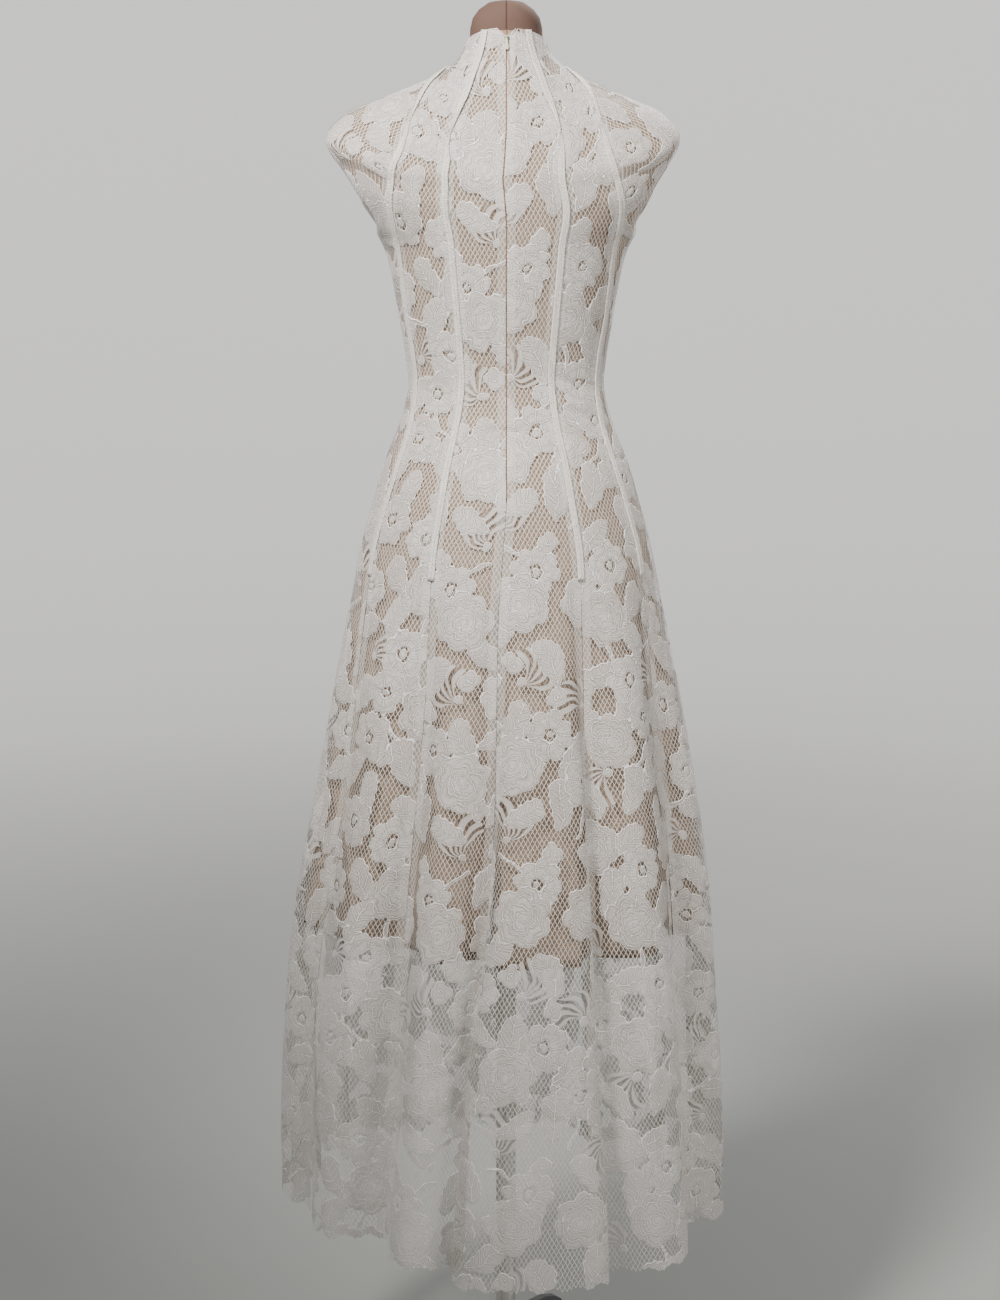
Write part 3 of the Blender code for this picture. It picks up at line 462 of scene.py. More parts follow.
def lace_pattern(tree):
    """The lace's colour, how much of the place its threads cover, and how high they stand."""
    cloth_uv = node(tree, "ShaderNodeUVMap", {"uv_map": "cloth"})
    motif, veins, comb = [node(tree, "ShaderNodeSeparateXYZ", Vector=node(
        tree, "ShaderNodeAttribute", {"attribute_name": name}).outputs["Vector"]).outputs
        for name in ("motif", "veins", "comb")]
    seam = node(tree, "ShaderNodeAttribute", {"attribute_name": "seam"}).outputs["Fac"]

    # The net's lozenges are a little uneven. Its threads are drawn 0.8 mm thick, about twice their real
    # size. Two staggered lattices give the nearest lozenge's middle.
    wander = node(tree, NOISE, Vector=cloth_uv, Scale=170.0, Detail=1.0).outputs["Color"]
    shake = node(tree, VECTORS, {"operation": "SCALE"}, Vector=wander, Scale=0.0016)
    shaken = node(tree, VECTORS, ADD, i0=cloth_uv, i1=shake)
    scaled = node(tree, VECTORS, MULTIPLY, i0=shaken, i1=(1 / NET_WIDTH, 1 / NET_HEIGHT, 0.0))
    lozenges = []
    for stagger in (0.0, 0.5):
        moved = node(tree, VECTORS, ADD, i0=scaled, i1=(stagger, stagger, 0.0))
        cell = node(tree, VECTORS, {"operation": "WRAP"}, i0=moved, i1=(0.5, 0.5, 1.0), i2=(-0.5, -0.5, -1.0))
        folded = node(tree, VECTORS, ABSOLUTE, i0=cell)
        lozenges.append(node(tree, VECTORS, {"operation": "DOT_PRODUCT"}, i0=folded,
                             i1=(2.0, 2.0, 0.0)).outputs["Value"])
    to_middle = node(tree, MATH, MINIMUM, i0=lozenges[0], i1=lozenges[1])
    net_thread = node(tree, RANGE, SMOOTH, Value=to_middle, From_Min=0.79, From_Max=0.91)

    in_motif = node(tree, RANGE, SMOOTH, Value=motif[0], From_Min=-0.15, From_Max=0.35)
    in_envelope = node(tree, RANGE, SMOOTH, Value=comb[0], From_Min=0.0, From_Max=0.6)
    bar_turn = node(tree, MATH, MULTIPLY, i0=comb[1], i1=math.pi)
    bars = node(tree, MATH, {"operation": "COSINE"}, i0=bar_turn)
    on_bar = node(tree, RANGE, SMOOTH, Value=bars, From_Min=-0.1, From_Max=0.2)
    in_comb = node(tree, MATH, MULTIPLY, i0=on_bar, i1=in_envelope)
    woven = node(tree, MATH, MAXIMUM, i0=in_motif, i1=in_comb)

    # Cords run round the motifs and the combs' bars, and finer ones along the veins.
    outline = band(tree, motif[1], 0.28, 0.42)
    from_edge = node(tree, MATH, SUBTRACT, i0=bars, i1=0.05)
    bar_edge = node(tree, MATH, MULTIPLY, i0=band(tree, from_edge, 0.12, 0.2), i1=in_envelope)
    faint_edge = node(tree, MATH, MULTIPLY, i0=bar_edge, i1=0.6)
    edges = node(tree, MATH, MAXIMUM, i0=outline, i1=faint_edge)
    first_rib, second_rib = [node(tree, MATH, ABSOLUTE, i0=veins[number]) for number in (0, 1)]
    near_ribs = node(tree, MATH, MINIMUM, i0=first_rib, i1=second_rib)
    ribs = band(tree, near_ribs, 0.20, 0.42)
    fine_ribs = node(tree, MATH, MULTIPLY, i0=band(tree, veins[2], 0.12, 0.45), i1=0.4)
    all_ribs = node(tree, MATH, MAXIMUM, i0=ribs, i1=fine_ribs)
    kept_ribs = node(tree, MATH, MULTIPLY, i0=all_ribs, i1=in_motif)
    cords = node(tree, MATH, MAXIMUM, i0=edges, i1=kept_ribs)

    # Short threads about 1 mm apart give the woven motifs their grain. They are drawn at twice their size.
    grain = node(tree, NOISE, Vector=cloth_uv, Scale=850.0, Detail=2.0, Roughness=0.6)
    patch = node(tree, NOISE, Vector=cloth_uv, Scale=42.0, Detail=2.0)
    fine_tint = node(tree, MATH, MULTIPLY, i0=grain, i1=0.55)
    soft_tint = node(tree, MATH, MULTIPLY_ADD, i0=patch, i1=0.55, i2=fine_tint)
    tinted = node(tree, MATH, MULTIPLY_ADD, i0=motif[2], i1=0.22, i2=soft_tint)
    woven_tone = node(tree, MIX, COLOURS, i0=tinted, i6="#cfc6be", i7="#ebe5df").outputs[2]
    thread_tone = node(tree, MIX, COLOURS, i0=woven, i6="#ebe4da", i7=woven_tone).outputs[2]
    # The cords are painted near white: partly their own thick thread, and partly a painted highlight along
    # their raised cores.
    tone = node(tree, MIX, COLOURS, i0=cords, i6=thread_tone, i7="#fffdf9").outputs[2]

    # Painted shade along each cord's flanks: the cloth beside it is thinned, so that the darker lining behind
    # shows.
    by_outline = node(tree, MATH, MULTIPLY, i0=band(tree, motif[1], 1.1, 0.8), i1=0.8)
    beside = node(tree, MATH, MAXIMUM, i0=band(tree, near_ribs, 1.1, 0.9), i1=by_outline)
    cord_flank_shade = node(tree, MATH, MULTIPLY, i0=beside, i1=in_motif)
    left_over = node(tree, MATH, MULTIPLY_ADD, i0=cord_flank_shade, i1=-0.38, i2=1.0)
    thin = node(tree, MATH, MULTIPLY_ADD, i0=patch, i1=0.26, i2=0.40)
    density = node(tree, MATH, MULTIPLY_ADD, i0=grain, i1=0.55, i2=thin)
    full_part = node(tree, MATH, MULTIPLY, i0=woven, i1=density)
    solid_part = node(tree, MATH, MULTIPLY, i0=full_part, i1=left_over)

    # Nothing is netted inside a motif, or between the bars of a comb.
    between_bars = node(tree, MATH, MULTIPLY, i0=in_envelope, i1=0.7)
    filled = node(tree, MATH, MAXIMUM, i0=in_motif, i1=between_bars)
    netted = node(tree, MATH, MULTIPLY_ADD, i0=filled, i1=-0.84, i2=0.88)
    open_net = node(tree, MATH, MULTIPLY, i0=net_thread, i1=netted)
    threads = node(tree, MATH, MAXIMUM, i0=solid_part, i1=open_net)
    single = node(tree, MATH, MAXIMUM, i0=threads, i1=cords)

    # The seam allowances double the lace along the gores' edges.
    doubled = node(tree, MATH, MULTIPLY, i0=band(tree, seam, SEAM_ALLOWANCE * 1000, 1.2), i1=0.34)
    open_single = node(tree, MATH, SUBTRACT, i0=1.0, i1=single)
    open_doubled = node(tree, MATH, SUBTRACT, i0=1.0, i1=doubled)
    bare = node(tree, MATH, MULTIPLY, i0=open_single, i1=open_doubled)
    cover = node(tree, MATH, SUBTRACT, i0=1.0, i1=bare)
    woven_height = node(tree, MATH, MULTIPLY, i0=woven, i1=0.5)
    cloth_height = node(tree, MATH, MULTIPLY_ADD, i0=grain, i1=0.3, i2=woven_height)
    height = node(tree, MATH, MULTIPLY_ADD, i0=cords, i1=0.7, i2=cloth_height)
    return tone, cover, height


# Fine cotton thread is matt, with a soft bloom where the cloth turns away.
lace_finish, tree, shader = new_finish(
    "ivory flower lace", Roughness=0.72, Specular_IOR_Level=0.35, Sheen_Weight=0.2)
lace_tone, cover, height = lace_pattern(tree)
set_look(tree, shader, lace_tone, height, 0.7, 0.0012)
tree.links.new(cover.outputs[0], shader.inputs["Alpha"])

GORES = (
    # name, the seams at its start and end, first ring, mirrored, where the cloth was cut from, in mm
    ("back_center_left", "centre_back", "back_inner_left", 0, 1, (52, 40)),
    ("back_center_right", "back_inner_right", "centre_back", 0, 0, (28, 62)),
    ("back_mid_left", "back_inner_left", "back_outer_left", 0, 1, (150, 150)),
    ("back_mid_right", "back_outer_right", "back_inner_right", 0, 0, (176, 118)),
    ("back_side_left", "back_outer_left", "side_back_left", 2, 1, (60, 300)),
    ("back_side_right", "side_back_right", "back_outer_right", 2, 0, (92, 255)),
    ("front_side_left", "side_front_left", "front_outer_left", 2, 0, (200, 220)),
    ("front_side_right", "front_outer_right", "side_front_right", 2, 1, (226, 190)),
    ("front_mid_left", "front_outer_left", "front_inner_left", 0, 0, (110, 20)),
    ("front_mid_right", "front_inner_right", "front_outer_right", 0, 1, (88, 46)),
    ("front_center", "front_inner_left", "front_inner_beyond", 0, 0, (135, 180)),
)
SPACING = 0.0026
ZIP_GAP, SEAM_GAP = 0.0008, 0.0002  # from an edge of a gore to its seam
LACE_RISE, SHALLOW_WAVES = 0.0005, 0.0009
FRAYED_EDGE, COLLAR_TURNED_DOWN, CORNER_WIDTH = 0.03, 0.010, 0.011


def write_lace(piece, fields, seam_distance):
    """Keeps the lace's fields on the piece's points, for its finish."""
    for name, values in fields.items():
        attribute = piece.data.attributes.new(name, "FLOAT_VECTOR", "POINT")
        attribute.data.foreach_set("vector", values.astype(np.float32).ravel())
    attribute = piece.data.attributes.new("seam", "FLOAT", "POINT")
    attribute.data.foreach_set("value", (seam_distance * 1000).astype(np.float32))


cut = {}
for gore, start, end, first_ring, mirrored, cut_from in GORES:
    # Rows a spacing apart down the gore's middle, each with points a spacing apart from seam to seam.
    fine = np.linspace(first_ring, HEM, 1200)
    start_degrees, end_degrees = smooth(SEAMS[start], fine), smooth(SEAMS[end], fine)
    middle = (start_degrees + end_degrees) / 2
    down = lengths(cloth(fine, middle))
    rings = np.interp(np.arange(0, down[-1], SPACING), down, fine)
    rings = np.append(rings, HEM)
    flat_down = np.interp(rings, fine, down)
    places, flats, counts, widths = [], [], [], []
    row_count = 2
    for row, ring in enumerate(rings):
        low, high = smooth(SEAMS[start], np.array([ring]))[0], smooth(SEAMS[end], np.array([ring]))[0]
        probe = np.linspace(low, high, 25)
        across = lengths(cloth(np.full(25, ring), probe))
        width = across[-1]
        wanted = max(int(round(width / SPACING)), 2)
        if abs(wanted - row_count) > 2 or row == 0:
            row_count = wanted
        gaps = [ZIP_GAP if name == "centre_back" and ring < ZIP_END else SEAM_GAP for name in (start, end)]
        stations = np.linspace(gaps[0], width - gaps[1], row_count + 1)
        places.append(np.stack((np.full(row_count + 1, ring), np.interp(stations, across, probe)), axis=1))
        flats.append(np.stack((stations - width / 2, np.full(row_count + 1, flat_down[row])), axis=1))
        counts.append(row_count)
        widths.append(width)
    where, flat = np.concatenate(places), np.concatenate(flats)
    points, out = cloth(where[:, 0], where[:, 1]), outward(where[:, 0], where[:, 1])
    sign, cut_from = -1 if mirrored else 1, np.array(cut_from) / 1000
    cut[gore] = (start, end, rings, flat_down, np.array(widths), sign, cut_from)
    half_width = np.repeat(widths, np.array(counts) + 1) / 2
    pattern_place = flat * (sign, 1) + cut_from
    fields = motif_fields(pattern_place)
    # The motifs stand up a little, the skirt waves a little, and the hem is frayed.
    raised = np.clip(fields["motif"][:, 0] / 1.2 + 0.5, 0, 1) * LACE_RISE
    shallow = np.sin(flat[:, 0] * 90 + 1.3 * len(gore)) * np.sin(flat[:, 1] * 21 + flat[:, 0] * 30)
    raised += shallow * SHALLOW_WAVES * np.clip((where[:, 0] - 18) / 4, 0, 1)
    frayed = np.sin(flat[:, 0] * 210) * 0.0026 + np.sin(flat[:, 0] * 830 + 2) * 0.0010
    points = points + out * raised[:, None]
    points[:, 2] += frayed * np.clip((flat[:, 1] - down[-1] + FRAYED_EDGE) / FRAYED_EDGE, 0, 1)
    # The collar's corners are turned down beside the zip.
    corner = np.clip(1 - np.abs(points[:, 0]) / CORNER_WIDTH, 0, 1) * np.clip(1 - where[:, 0] / 0.6, 0, 1)
    points[:, 2] -= np.where(points[:, 1] > 0, COLLAR_TURNED_DOWN * corner, 0)
    panel = keep("lace_panel_" + gore, points, strip_faces(counts), lace_finish)
    lay_flat(panel, pattern_place)
    write_lace(panel, fields, half_width - np.abs(flat[:, 0]))
    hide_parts("lace_" + gore)
    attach(panel, "dress_on_form")

# Lining
# A nude woven lining hangs inside the lace from the collar to the knee. It is cut in two backs and a
# front, with side seams, and is caught in at the collar, armholes and zip.

LINING_INSET = by_ring((
    (1, 0.0024), (2, 0.0029), (4, 0.0029), (5, 0.0024), (18, 0.0024), (19, 0.0036), (20, 0.0060),
    (21, 0.0090), (22, 0.0110), (23, 0.0125),
))
LINING_RINGS, LINING_ROWS = (0.15, 23.34), 230
LINING_WALL = 0.0007

# Woven polyester is smooth, with a soft bloom.
lining_finish, tree, shader = new_finish(
    "nude woven lining", Roughness=0.62, Specular_IOR_Level=0.3, Sheen_Weight=0.2)
cloth_uv = node(tree, "ShaderNodeUVMap", {"uv_map": "cloth"})
# A plain weave. Its threads are drawn 2 mm apart, coarser than real ones, so that they show.
warp, weft = [node(tree, WAVE, {"bands_direction": way}, Vector=cloth_uv, Scale=160.0,
                   Distortion=0.4).outputs["Fac"] for way in ("X", "Y")]
weave = node(tree, MATH, MULTIPLY, i0=warp, i1=weft)
faint_weave = node(tree, MATH, MULTIPLY, i0=weave, i1=0.12)
patch = node(tree, NOISE, Vector=cloth_uv, Scale=14.0, Detail=3.0)
# Painted shade: the lining's nude tones are painted darker, for the shade of the lace over it.
tone = node(tree, MIX, COLOURS, i0=patch, i6="#978270", i7="#a99683").outputs[2]
woven = node(tree, MIX, COLOURS | {"blend_type": "MULTIPLY"}, i0=faint_weave, i6=tone, i7="#8a7766")
set_look(tree, shader, woven.outputs[2], weave)


def wall(piece, thickness):
    """The cloth's own thickness, inwards."""
    solid = piece.modifiers.new("Wall", "SOLIDIFY")
    solid.thickness, solid.offset = thickness, -1.0


for part_name, start, end in (
    ("lining_back_left", "centre_back", "side_back_left"),
    ("lining_back_right", "side_back_right", "centre_back"),
    ("lining_front", "side_front_left", "side_front_right"),
):
    rings = np.linspace(*LINING_RINGS, LINING_ROWS)
    count = 84 if part_name == "lining_front" else 44
    low, high = smooth(SEAMS[start], rings), smooth(SEAMS[end], rings)
    if part_name == "lining_front":
        high = high + 360
    share = np.linspace(0.002, 0.998, count + 1)
    degrees = low[:, None] + (high - low)[:, None] * share
    where = np.stack((np.repeat(rings, count + 1), degrees.ravel()), axis=1)
    inset = smooth(LINING_INSET, where[:, 0])
    points = cloth(where[:, 0], where[:, 1]) - outward(where[:, 0], where[:, 1]) * inset[:, None]
    grid = points.reshape(len(rings), count + 1, 3)
    flat_down = lengths(grid[:, count // 2])
    across = np.array([lengths(row) for row in grid])
    across -= across[:, -1:] / 2
    flat = np.stack((across.ravel(), np.repeat(flat_down, count + 1)), axis=1)
    piece = keep(part_name + "_cloth", points, strip_faces([count] * len(rings)), lining_finish)
    lay_flat(piece, flat)
    wall(piece, LINING_WALL)
    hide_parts(part_name)
    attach(piece, "dress_on_form")

# Tapes over the princess seams
# Ivory twill tape 8.5 mm wide covers each princess seam from the collar or the shoulder to the hip. The
# lace's threads are caught in its face, and small stitches hold both of its edges.

TAPE_LIFT = by_ring(((2, 0.0007), (3, 0.0010), (4, 0.0010), (5, 0.0007)))
TAPES = [(edge + side, first) for edge, first in (
    ("back_inner_", 0.02), ("back_outer_", 2.02), ("front_outer_", 2.02), ("front_inner_", 0.02),
) for side in ("left", "right")]  # each tape's seam and its first ring
TAPE_WIDTH, TAPE_END, TAPE_WALL = 0.0085, 19.43, 0.0008
TAPE_CROWN, TAPE_WOBBLE = 0.0003, 0.00015
TAPE_ROWS, TAPE_COLUMNS = 260, 9

# Twill tape is a little denser and brighter than the lace.
tape_finish, tree, shader = new_finish(
    "ivory twill tape", Roughness=0.6, Specular_IOR_Level=0.35, Sheen_Weight=0.2)
cloth_uv = node(tree, "ShaderNodeUVMap", {"uv_map": "cloth"})
lace_tone, cover, height = lace_pattern(tree)
# Twill lines drawn 2.6 mm apart, and a soft mottle from steaming.
twill = node(tree, WAVE, {"bands_direction": "DIAGONAL"}, Vector=cloth_uv, Scale=170.0,
             Distortion=0.6).outputs["Fac"]
mottle = node(tree, NOISE, Vector=cloth_uv, Scale=120.0, Detail=3.0)
faint_mottle = node(tree, MATH, MULTIPLY, i0=mottle, i1=0.6)
mixed = node(tree, MATH, MULTIPLY_ADD, i0=twill, i1=0.4, i2=faint_mottle)
twill_tone = node(tree, MIX, COLOURS, i0=mixed, i6="#dfd9cf", i7="#f6f2ea").outputs[2]
caught = node(tree, MATH, MULTIPLY, i0=cover, i1=0.75)
tone = node(tree, MIX, COLOURS, i0=caught, i6=twill_tone, i7=lace_tone).outputs[2]
relief = node(tree, MATH, MULTIPLY_ADD, i0=twill, i1=0.3, i2=height)
set_look(tree, shader, tone, relief, 0.7, 0.0010)

# Polished sewing thread has a slight shine.
stitch_finish = speckled_finish(
    "ivory sewing thread", "#efe9dd", "#fdfbf6", 1500.0, 1.0, Roughness=0.45, Specular_IOR_Level=0.5)

stitch_tree = bpy.data.node_groups.new("Row of stitches", "GeometryNodeTree")
stitch_tree.interface.new_socket("Line", in_out="INPUT", socket_type="NodeSocketGeometry")
stitch_inputs = []
for name in ("Spacing", "Length", "Radius", "Turn", "Thread"):
    kind = "NodeSocketMaterial" if name == "Thread" else "NodeSocketFloat"
    stitch_inputs.append(stitch_tree.interface.new_socket(name, in_out="INPUT", socket_type=kind).identifier)
stitch_tree.interface.new_socket("Stitches", in_out="OUTPUT", socket_type="NodeSocketGeometry")
given = stitch_tree.nodes.new("NodeGroupInput").outputs
group_out = stitch_tree.nodes.new("NodeGroupOutput")
line = node(stitch_tree, "GeometryNodeMeshToCurve", Mesh=given["Line"])
spots = node(stitch_tree, "GeometryNodeCurveToPoints", {"mode": "LENGTH"}, Curve=line,
             Length=given["Spacing"])
thread = node(stitch_tree, "GeometryNodeMeshCylinder", {"fill_type": "TRIANGLE_FAN"}, Vertices=5,
              Side_Segments=1, Radius=given["Radius"], Depth=given["Length"])
quarter = node(stitch_tree, "FunctionNodeAxisAngleToRotation", Axis=(1.0, 0.0, 0.0), Angle=given["Turn"])
turned = node(stitch_tree, "FunctionNodeRotateRotation", {"rotation_space": "LOCAL"},
              i0=spots.outputs["Rotation"], i1=quarter)
placed = node(stitch_tree, "GeometryNodeInstanceOnPoints", Points=spots.outputs["Points"],
              Instance=thread.outputs["Mesh"], Rotation=turned)
real = node(stitch_tree, "GeometryNodeRealizeInstances", Geometry=placed)
finished = node(stitch_tree, "GeometryNodeSetMaterial", Geometry=real, Material=given["Thread"])
stitch_tree.links.new(finished.outputs[0], group_out.inputs[0])


def stitched(name, lines, spacing, length, radius, turn, finish):
    """Stitches along lines of points, as one plain mesh."""
    points, edges = [], []
    for row in lines:
        first = len(points)
        points += [tuple(point) for point in row]
        edges += [(first + number, first + number + 1) for number in range(len(row) - 1)]
    mesh = bpy.data.meshes.new(name)
    mesh.from_pydata(points, edges, [])
    guide = bpy.data.objects.new(name, mesh)
    bpy.context.scene.collection.objects.link(guide)
    rows = guide.modifiers.new("Stitches", "NODES")
    rows.node_group = stitch_tree
    for key, value in zip(stitch_inputs, (spacing, length, radius, turn, finish)):
        rows[key] = value
    bpy.context.view_layer.update()
    evaluated = guide.evaluated_get(bpy.context.evaluated_depsgraph_get())
    guide.data = bpy.data.meshes.new_from_object(evaluated)
    guide.modifiers.clear()
    guide.data.shade_smooth()
    return guide


edge_lines = []
for seam, first_ring in TAPES:
    rings = np.linspace(first_ring, TAPE_END, TAPE_ROWS)
    degrees = smooth(SEAMS[seam], rings)
    middle, out = cloth(rings, degrees), outward(rings, degrees)
    aside = np.cross(out, np.gradient(middle, axis=0))
    aside /= np.linalg.norm(aside, axis=1, keepdims=True)
    one_degree = np.linalg.norm(cloth(rings, degrees + 1) - middle, axis=1)
    lift = smooth(TAPE_LIFT, rings)[:, None]
    # Over the collar the tape stays straight across, and below it follows the cloth.
    follow = np.clip((rings - 3) / 3, 0, 1)[:, None]
    shares = np.linspace(-1, 1, TAPE_COLUMNS)
    grid = []
    for share in shares:
        over = share * TAPE_WIDTH / 2
        on_cloth = cloth(rings, degrees + over / np.maximum(one_degree, 0.0004))
        base = (middle + aside * over) * (1 - follow) + on_cloth * follow
        crown = TAPE_CROWN * (1 - share ** 4) + 0.0009
        wobble = TAPE_WOBBLE * np.sin(rings * 37 + share * 3)[:, None]
        grid.append(base + out * (lift + crown + wobble))
    grid = np.array(grid).transpose(1, 0, 2)
    # The lace's threads run on over the tape, from the gore on each side.
    flat = np.zeros(grid.shape[:2] + (2,))
    for side, columns in ((1, shares >= 0), (-1, shares < 0)):
        for start, end, gore_rings, flat_down, widths, sign, cut_from in cut.values():
            if seam != (start if side > 0 else end.replace("beyond", "right")):
                continue
            edge = np.interp(rings, gore_rings, widths)[:, None] / 2
            across = shares[columns] * TAPE_WIDTH / 2 - side * edge
            down = np.interp(rings, gore_rings, flat_down)[:, None] + across * 0
            flat[:, columns] = np.stack((across * sign, down), axis=2) + cut_from
    flat = flat.reshape(-1, 2)
    faces = strip_faces([TAPE_COLUMNS - 1] * len(rings))
    piece = keep("tape_" + seam + "_twill", grid.reshape(-1, 3), faces, tape_finish)
    lay_flat(piece, flat)
    write_lace(piece, motif_fields(flat), np.full(len(flat), 0.02))
    wall(piece, TAPE_WALL)
    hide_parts("tape_" + seam)
    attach(piece, "dress_on_form")
    for column in (1, TAPE_COLUMNS - 2):
        edge_lines.append(grid[::4, column] + out[::4] * 0.0002)
stitches = stitched("tape_stitches", edge_lines, 0.0030, 0.0018, 0.00028, math.pi / 2, stitch_finish)
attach(stitches, "dress_on_form")

# Zip at the centre back
# A concealed zip closes the back from the collar to below the hip. The gores' edges meet over its nylon
# teeth, so that only a thin line shows, with a small slider and a cream drop pull at the collar.

ZIP_ROWS, ZIP_TAPE_HALF, ZIP_TAPE_INSET, ZIP_TAPE_WALL = 240, 0.009, 0.0017, 0.0004
COIL_INSET = 0.0009

zip_tape_finish, tree, shader = new_finish("beige zip tape", Roughness=0.7)
place = node(tree, "ShaderNodeTexCoord").outputs["Object"]
# Knitted tape with rows 0.8 mm apart.
knit = node(tree, WAVE, {"bands_direction": "Z"}, Vector=place, Scale=390.0).outputs["Fac"]
tone = node(tree, MIX, COLOURS, i0=knit, i6="#8d735c", i7="#a98f78").outputs[2]
set_look(tree, shader, tone)
# Moulded nylon has a satin shine, and its tone changes a little with wear.
coil_finish = speckled_finish("beige nylon coil", "#a8805f", "#c79f80", 300.0, 2.0, Roughness=0.35)

rings = np.linspace(LINING_RINGS[0], ZIP_END, ZIP_ROWS)
level = np.zeros(len(rings))
middle, out = cloth(rings, level), outward(rings, level)
grid = np.stack([
    middle - out * ZIP_TAPE_INSET + np.array((share * ZIP_TAPE_HALF, 0, 0))
    for share in (-1, -0.5, -0.1, 0.1, 0.5, 1)
], axis=1)
zip_tape = keep("zip_tape_knit", grid.reshape(-1, 3), strip_faces([5] * len(rings)), zip_tape_finish)
wall(zip_tape, ZIP_TAPE_WALL)
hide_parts("zip_tape")
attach(zip_tape, "dress_on_form")
coil = stitched("zip_coil", [middle - out * COIL_INSET], 0.0015, 0.0024, 0.00045, math.pi / 2, coil_finish)
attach(coil, "dress_on_form")

# Plated zinc is bright, with fine scuffs. Enamel is glossy, and worn a little unevenly.
zinc_finish = speckled_finish(
    "plated zinc slider", "#b7b1a6", "#d8d3c8", 700.0, 3.0, Metallic=1.0, Roughness=0.32)
enamel_finish = speckled_finish(
    "cream enamel", "#dcd2ba", "#efe7d3", 500.0, 3.0, Roughness=0.35, Coat_Weight=0.3)
for name, finish in (("zip_slider", zinc_finish), ("zip_pull", enamel_finish)):
    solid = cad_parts[name]
    solid.data.materials.clear()
    solid.data.materials.append(finish)

# Dress form
# A padded body covered in stretched taupe jersey, with a low dome over the neck and a flat base under
# the hips. A seam runs down its centre back.

FORM_INSET, FORM_END, FORM_ROWS, FORM_SIDES = 0.0042, 17.0, 120, 96
FORM_HALF_WIDTH = by_ring((
    (4, 0.1160), (5, 0.1480), (6, 0.1640), (7, 0.1660), (8, 0.1620), (9, 0.1560), (10, 0.1490),
    (11, 0.1425), (12, 0.1330), (13, 0.1300),
))
FORM_NECK = ovals(
    (0.0000, 0.0000, 0.0000, 1.7679), (0.0110, 0.0115, -0.0130, 1.7675),
    (0.0225, 0.0235, -0.0270, 1.7650), (0.0330, 0.0340, -0.0400, 1.7575),
    (0.0400, 0.0415, -0.0490, 1.7480), (0.0428, 0.0447, -0.0525, 1.7360, 1.7400, 1.7260),
)
FORM_HIPS = ovals(
    (0.1550, 0.118, -0.111, 1.180), (0.1610, 0.123, -0.113, 1.120),
    (0.1560, 0.115, -0.107, 1.050), (0.1480, 0.104, -0.098, 1.010),
    (0.1440, 0.100, -0.094, 1.010), (0.0130, 0.013, -0.013, 1.010),
)

# Stretched jersey is matt.
form_finish, tree, shader = new_finish("taupe jersey", Roughness=0.85, Specular_IOR_Level=0.1)
place = node(tree, "ShaderNodeTexCoord").outputs["Object"]
# Jersey ribs 0.9 mm apart, with a little fading.
ribs = node(tree, WAVE, {"bands_direction": "Z"}, Vector=place, Scale=350.0,
            Distortion=1.0, Detail=1.0).outputs["Fac"]
fade = node(tree, NOISE, Vector=place, Scale=24.0, Detail=3.0)
tone = node(tree, MIX, COLOURS, i0=fade, i6="#5e4940", i7="#705b51").outputs[2]
seam_line = band(tree, node(tree, "ShaderNodeSeparateXYZ", Vector=place), 0.0004, 0.0010)
sewn = node(tree, MIX, COLOURS, i0=seam_line, i6=tone, i7="#4c3830").outputs[2]
set_look(tree, shader, sewn, ribs, 0.15)

around = np.linspace(0, 360, FORM_SIDES + 1)[:-1]


def oval_loop(size):
    """A level ring of the form, from a row of its table."""
    side, back = np.sin(np.radians(around)), np.cos(np.radians(around))
    y_end, z_end = np.where(back > 0, size[1], size[2]), np.where(back > 0, size[4], size[5])
    rise = np.abs(back) ** SLOPE_POWER
    return np.stack((size[0] * side, y_end * np.abs(back), size[3] + (z_end - size[3]) * rise), axis=1)


loops = [oval_loop(size) for size in FORM_NECK]
for ring in np.linspace(0.0, FORM_END, FORM_ROWS):
    numbers = np.full(len(around), ring)
    loop = cloth(numbers, around) - outward(numbers, around) * FORM_INSET
    if ring >= 4:
        loop[:, 0] *= min(1.0, smooth(FORM_HALF_WIDTH, np.array([ring]))[0] / loop[:, 0].max())
    loops.append(loop)
loops += [oval_loop(size) for size in FORM_HIPS]
faces = ring_faces(len(loops), FORM_SIDES)
faces.append(tuple(range((len(loops) - 1) * FORM_SIDES, len(loops) * FORM_SIDES)))
form = keep("form_jersey", np.concatenate(loops), faces, form_finish)
bm = bmesh.new()
bm.from_mesh(form.data)
bmesh.ops.remove_doubles(bm, verts=bm.verts, dist=0.00002)
bmesh.ops.recalc_face_normals(bm, faces=bm.faces)
bm.to_mesh(form.data)
bm.free()
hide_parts("form_body")
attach(form, "dress_on_form")

# Stand
# A chromed pole stands in a black hub with five curved tube legs. Each leg ends on a round rubber foot.

# Chrome brushed along the pole is bright, with long streaks.
chrome_finish = speckled_finish("brushed chrome", "#bdbbb7", "#dad8d4", 1.0, 2.0, (900.0, 900.0, 12.0),
                                Metallic=1.0, Roughness=0.28)
# Powder coat is satin, with fine pores. Moulded rubber is matt, with dusty spots.
powder_finish = speckled_finish(
    "black powder coat", "#1c1c1d", "#2b2b2d", 900.0, 2.0, raised=True, Roughness=0.5)
rubber_finish = speckled_finish("black rubber", "#161616", "#2a2928", 220.0, 3.0, Roughness=0.85)
for name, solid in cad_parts.items():
    if name.startswith("stand_"):
        finish = chrome_finish if name == "stand_pole" else powder_finish
        solid.data.materials.clear()
        solid.data.materials.append(rubber_finish if "foot" in name else finish)

# Floor, light and camera

PAPER_SIDES, PAPER_RADIUS, PAPER_CURVE, PAPER_TOP = 96, 6.6, 1.6, 5.4
WORLD_STRENGTH, LAMP_COLOUR, SPOT_DEGREES = 0.18, (1.0, 0.955, 0.93), 48

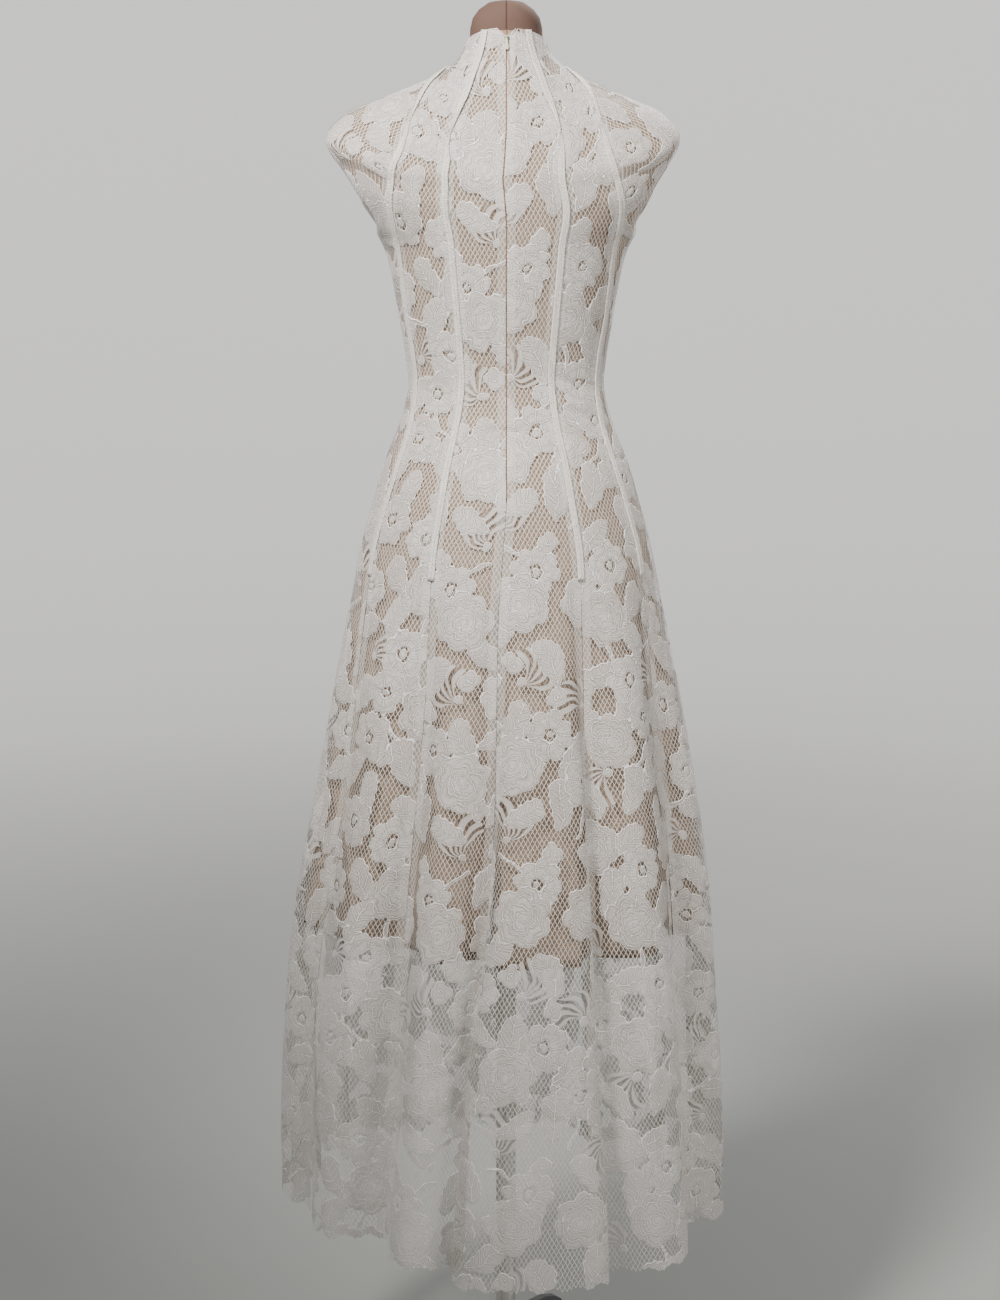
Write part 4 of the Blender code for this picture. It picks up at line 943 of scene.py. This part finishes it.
paper_finish, tree, shader = new_finish("pale seamless paper", Roughness=0.95, Specular_IOR_Level=0.2)
place = node(tree, "ShaderNodeTexCoord").outputs["Object"]
# The paper's colour is painted paler with the distance from the stand and with its height up the curved wall:
# painted shade near the stand and low down, painted light farther out and up.
split = node(tree, "ShaderNodeSeparateXYZ", Vector=place).outputs
level_place = node(tree, "ShaderNodeCombineXYZ", X=split[0], Y=split[1])
away = node(tree, VECTORS, {"operation": "LENGTH"}, i0=level_place).outputs["Value"]
run = node(tree, MATH, MULTIPLY_ADD, i0=split[2], i1=0.5, i2=away)
painted_light_on_paper = node(tree, RANGE, SMOOTH, Value=run, From_Min=0.2, From_Max=5.7)
fibre = node(tree, NOISE, Vector=place, Scale=1.6, Detail=4.0)
faint_fibre = node(tree, MATH, MULTIPLY, i0=fibre, i1=0.16)
tone = node(tree, MIX, COLOURS, i0=painted_light_on_paper, i6="#a5a9a4", i7="#e8e7e5").outputs[2]
mottled = node(tree, MIX, COLOURS | {"blend_type": "MULTIPLY"}, i0=faint_fibre, i6=tone, i7="#c9c9c7")
set_look(tree, shader, mottled.outputs[2])
# The light on the paper, stronger farther up, is its own glow. It needs no lamps behind the dress.
glow = node(tree, RANGE, SMOOTH, Value=run, From_Min=-1.9, From_Max=8.8, To_Min=0.0, To_Max=0.88)
shader.inputs["Emission Color"].default_value = linear("#fdfbf9")
tree.links.new(glow.outputs[0], shader.inputs["Emission Strength"])
profile = [(0.001, 0.0), (3.0, 0.0), (4.6, 0.0)]
for bend in np.linspace(0, math.pi / 2, 12):
    profile.append((PAPER_RADIUS - PAPER_CURVE * (1 - math.sin(bend)), PAPER_CURVE * (1 - math.cos(bend))))
profile += [(PAPER_RADIUS, 3.4), (PAPER_RADIUS, PAPER_TOP)]
turns = np.radians(np.linspace(0, 360, PAPER_SIDES + 1)[:-1])
points = [(out * math.cos(turn), out * math.sin(turn), up) for out, up in profile for turn in turns]
floor = keep("floor", points, ring_faces(len(profile), PAPER_SIDES), paper_finish)
# The paper doesn't light the dress. The world does, so that the two can be set apart.
floor.visible_diffuse = False
world = bpy.data.worlds.new("pale room")
bpy.context.scene.world = world
world.use_nodes = True
sky = world.node_tree.nodes["Background"].inputs
sky["Color"].default_value, sky["Strength"].default_value = linear("#e0e5e1"), WORLD_STRENGTH
for name, kind, place, target, size, power in (
    # metres and watts
    ("key", "SPOT", (0.9, 1.4, 2.95), (0, 0, 1.40), 0.25, 450),
    ("fill", "AREA", (-1.7, 1.5, 1.5), (0, 0, 0.8), 1.0, 28),
    ("front key", "SPOT", (-0.8, -1.5, 2.95), (0, 0, 1.55), 0.25, 230),
):
    light = bpy.data.lights.new(name, kind)
    light.energy, light.color = power, LAMP_COLOUR
    if kind == "SPOT":
        light.shadow_soft_size, light.spot_size, light.spot_blend = size, math.radians(SPOT_DEGREES), 1.0
    else:
        light.size = size
    lamp = bpy.data.objects.new(name, light)
    lamp.visible_camera = False
    bpy.context.scene.collection.objects.link(lamp)
    lamp.location = place
    lamp.rotation_euler = (Vector(target) - Vector(place)).to_track_quat("-Z", "Y").to_euler()
camera_data = bpy.data.cameras.new("camera")
camera_data.sensor_width, camera_data.lens = 36, 2000 / 1300 * 36
camera = bpy.data.objects.new("camera", camera_data)
bpy.context.scene.collection.objects.link(camera)
camera.location = (0.0074, 2.45, 1.336)
camera.rotation_euler = (math.radians(90 - 7.97), 0, math.radians(180))
bpy.context.scene.camera = camera
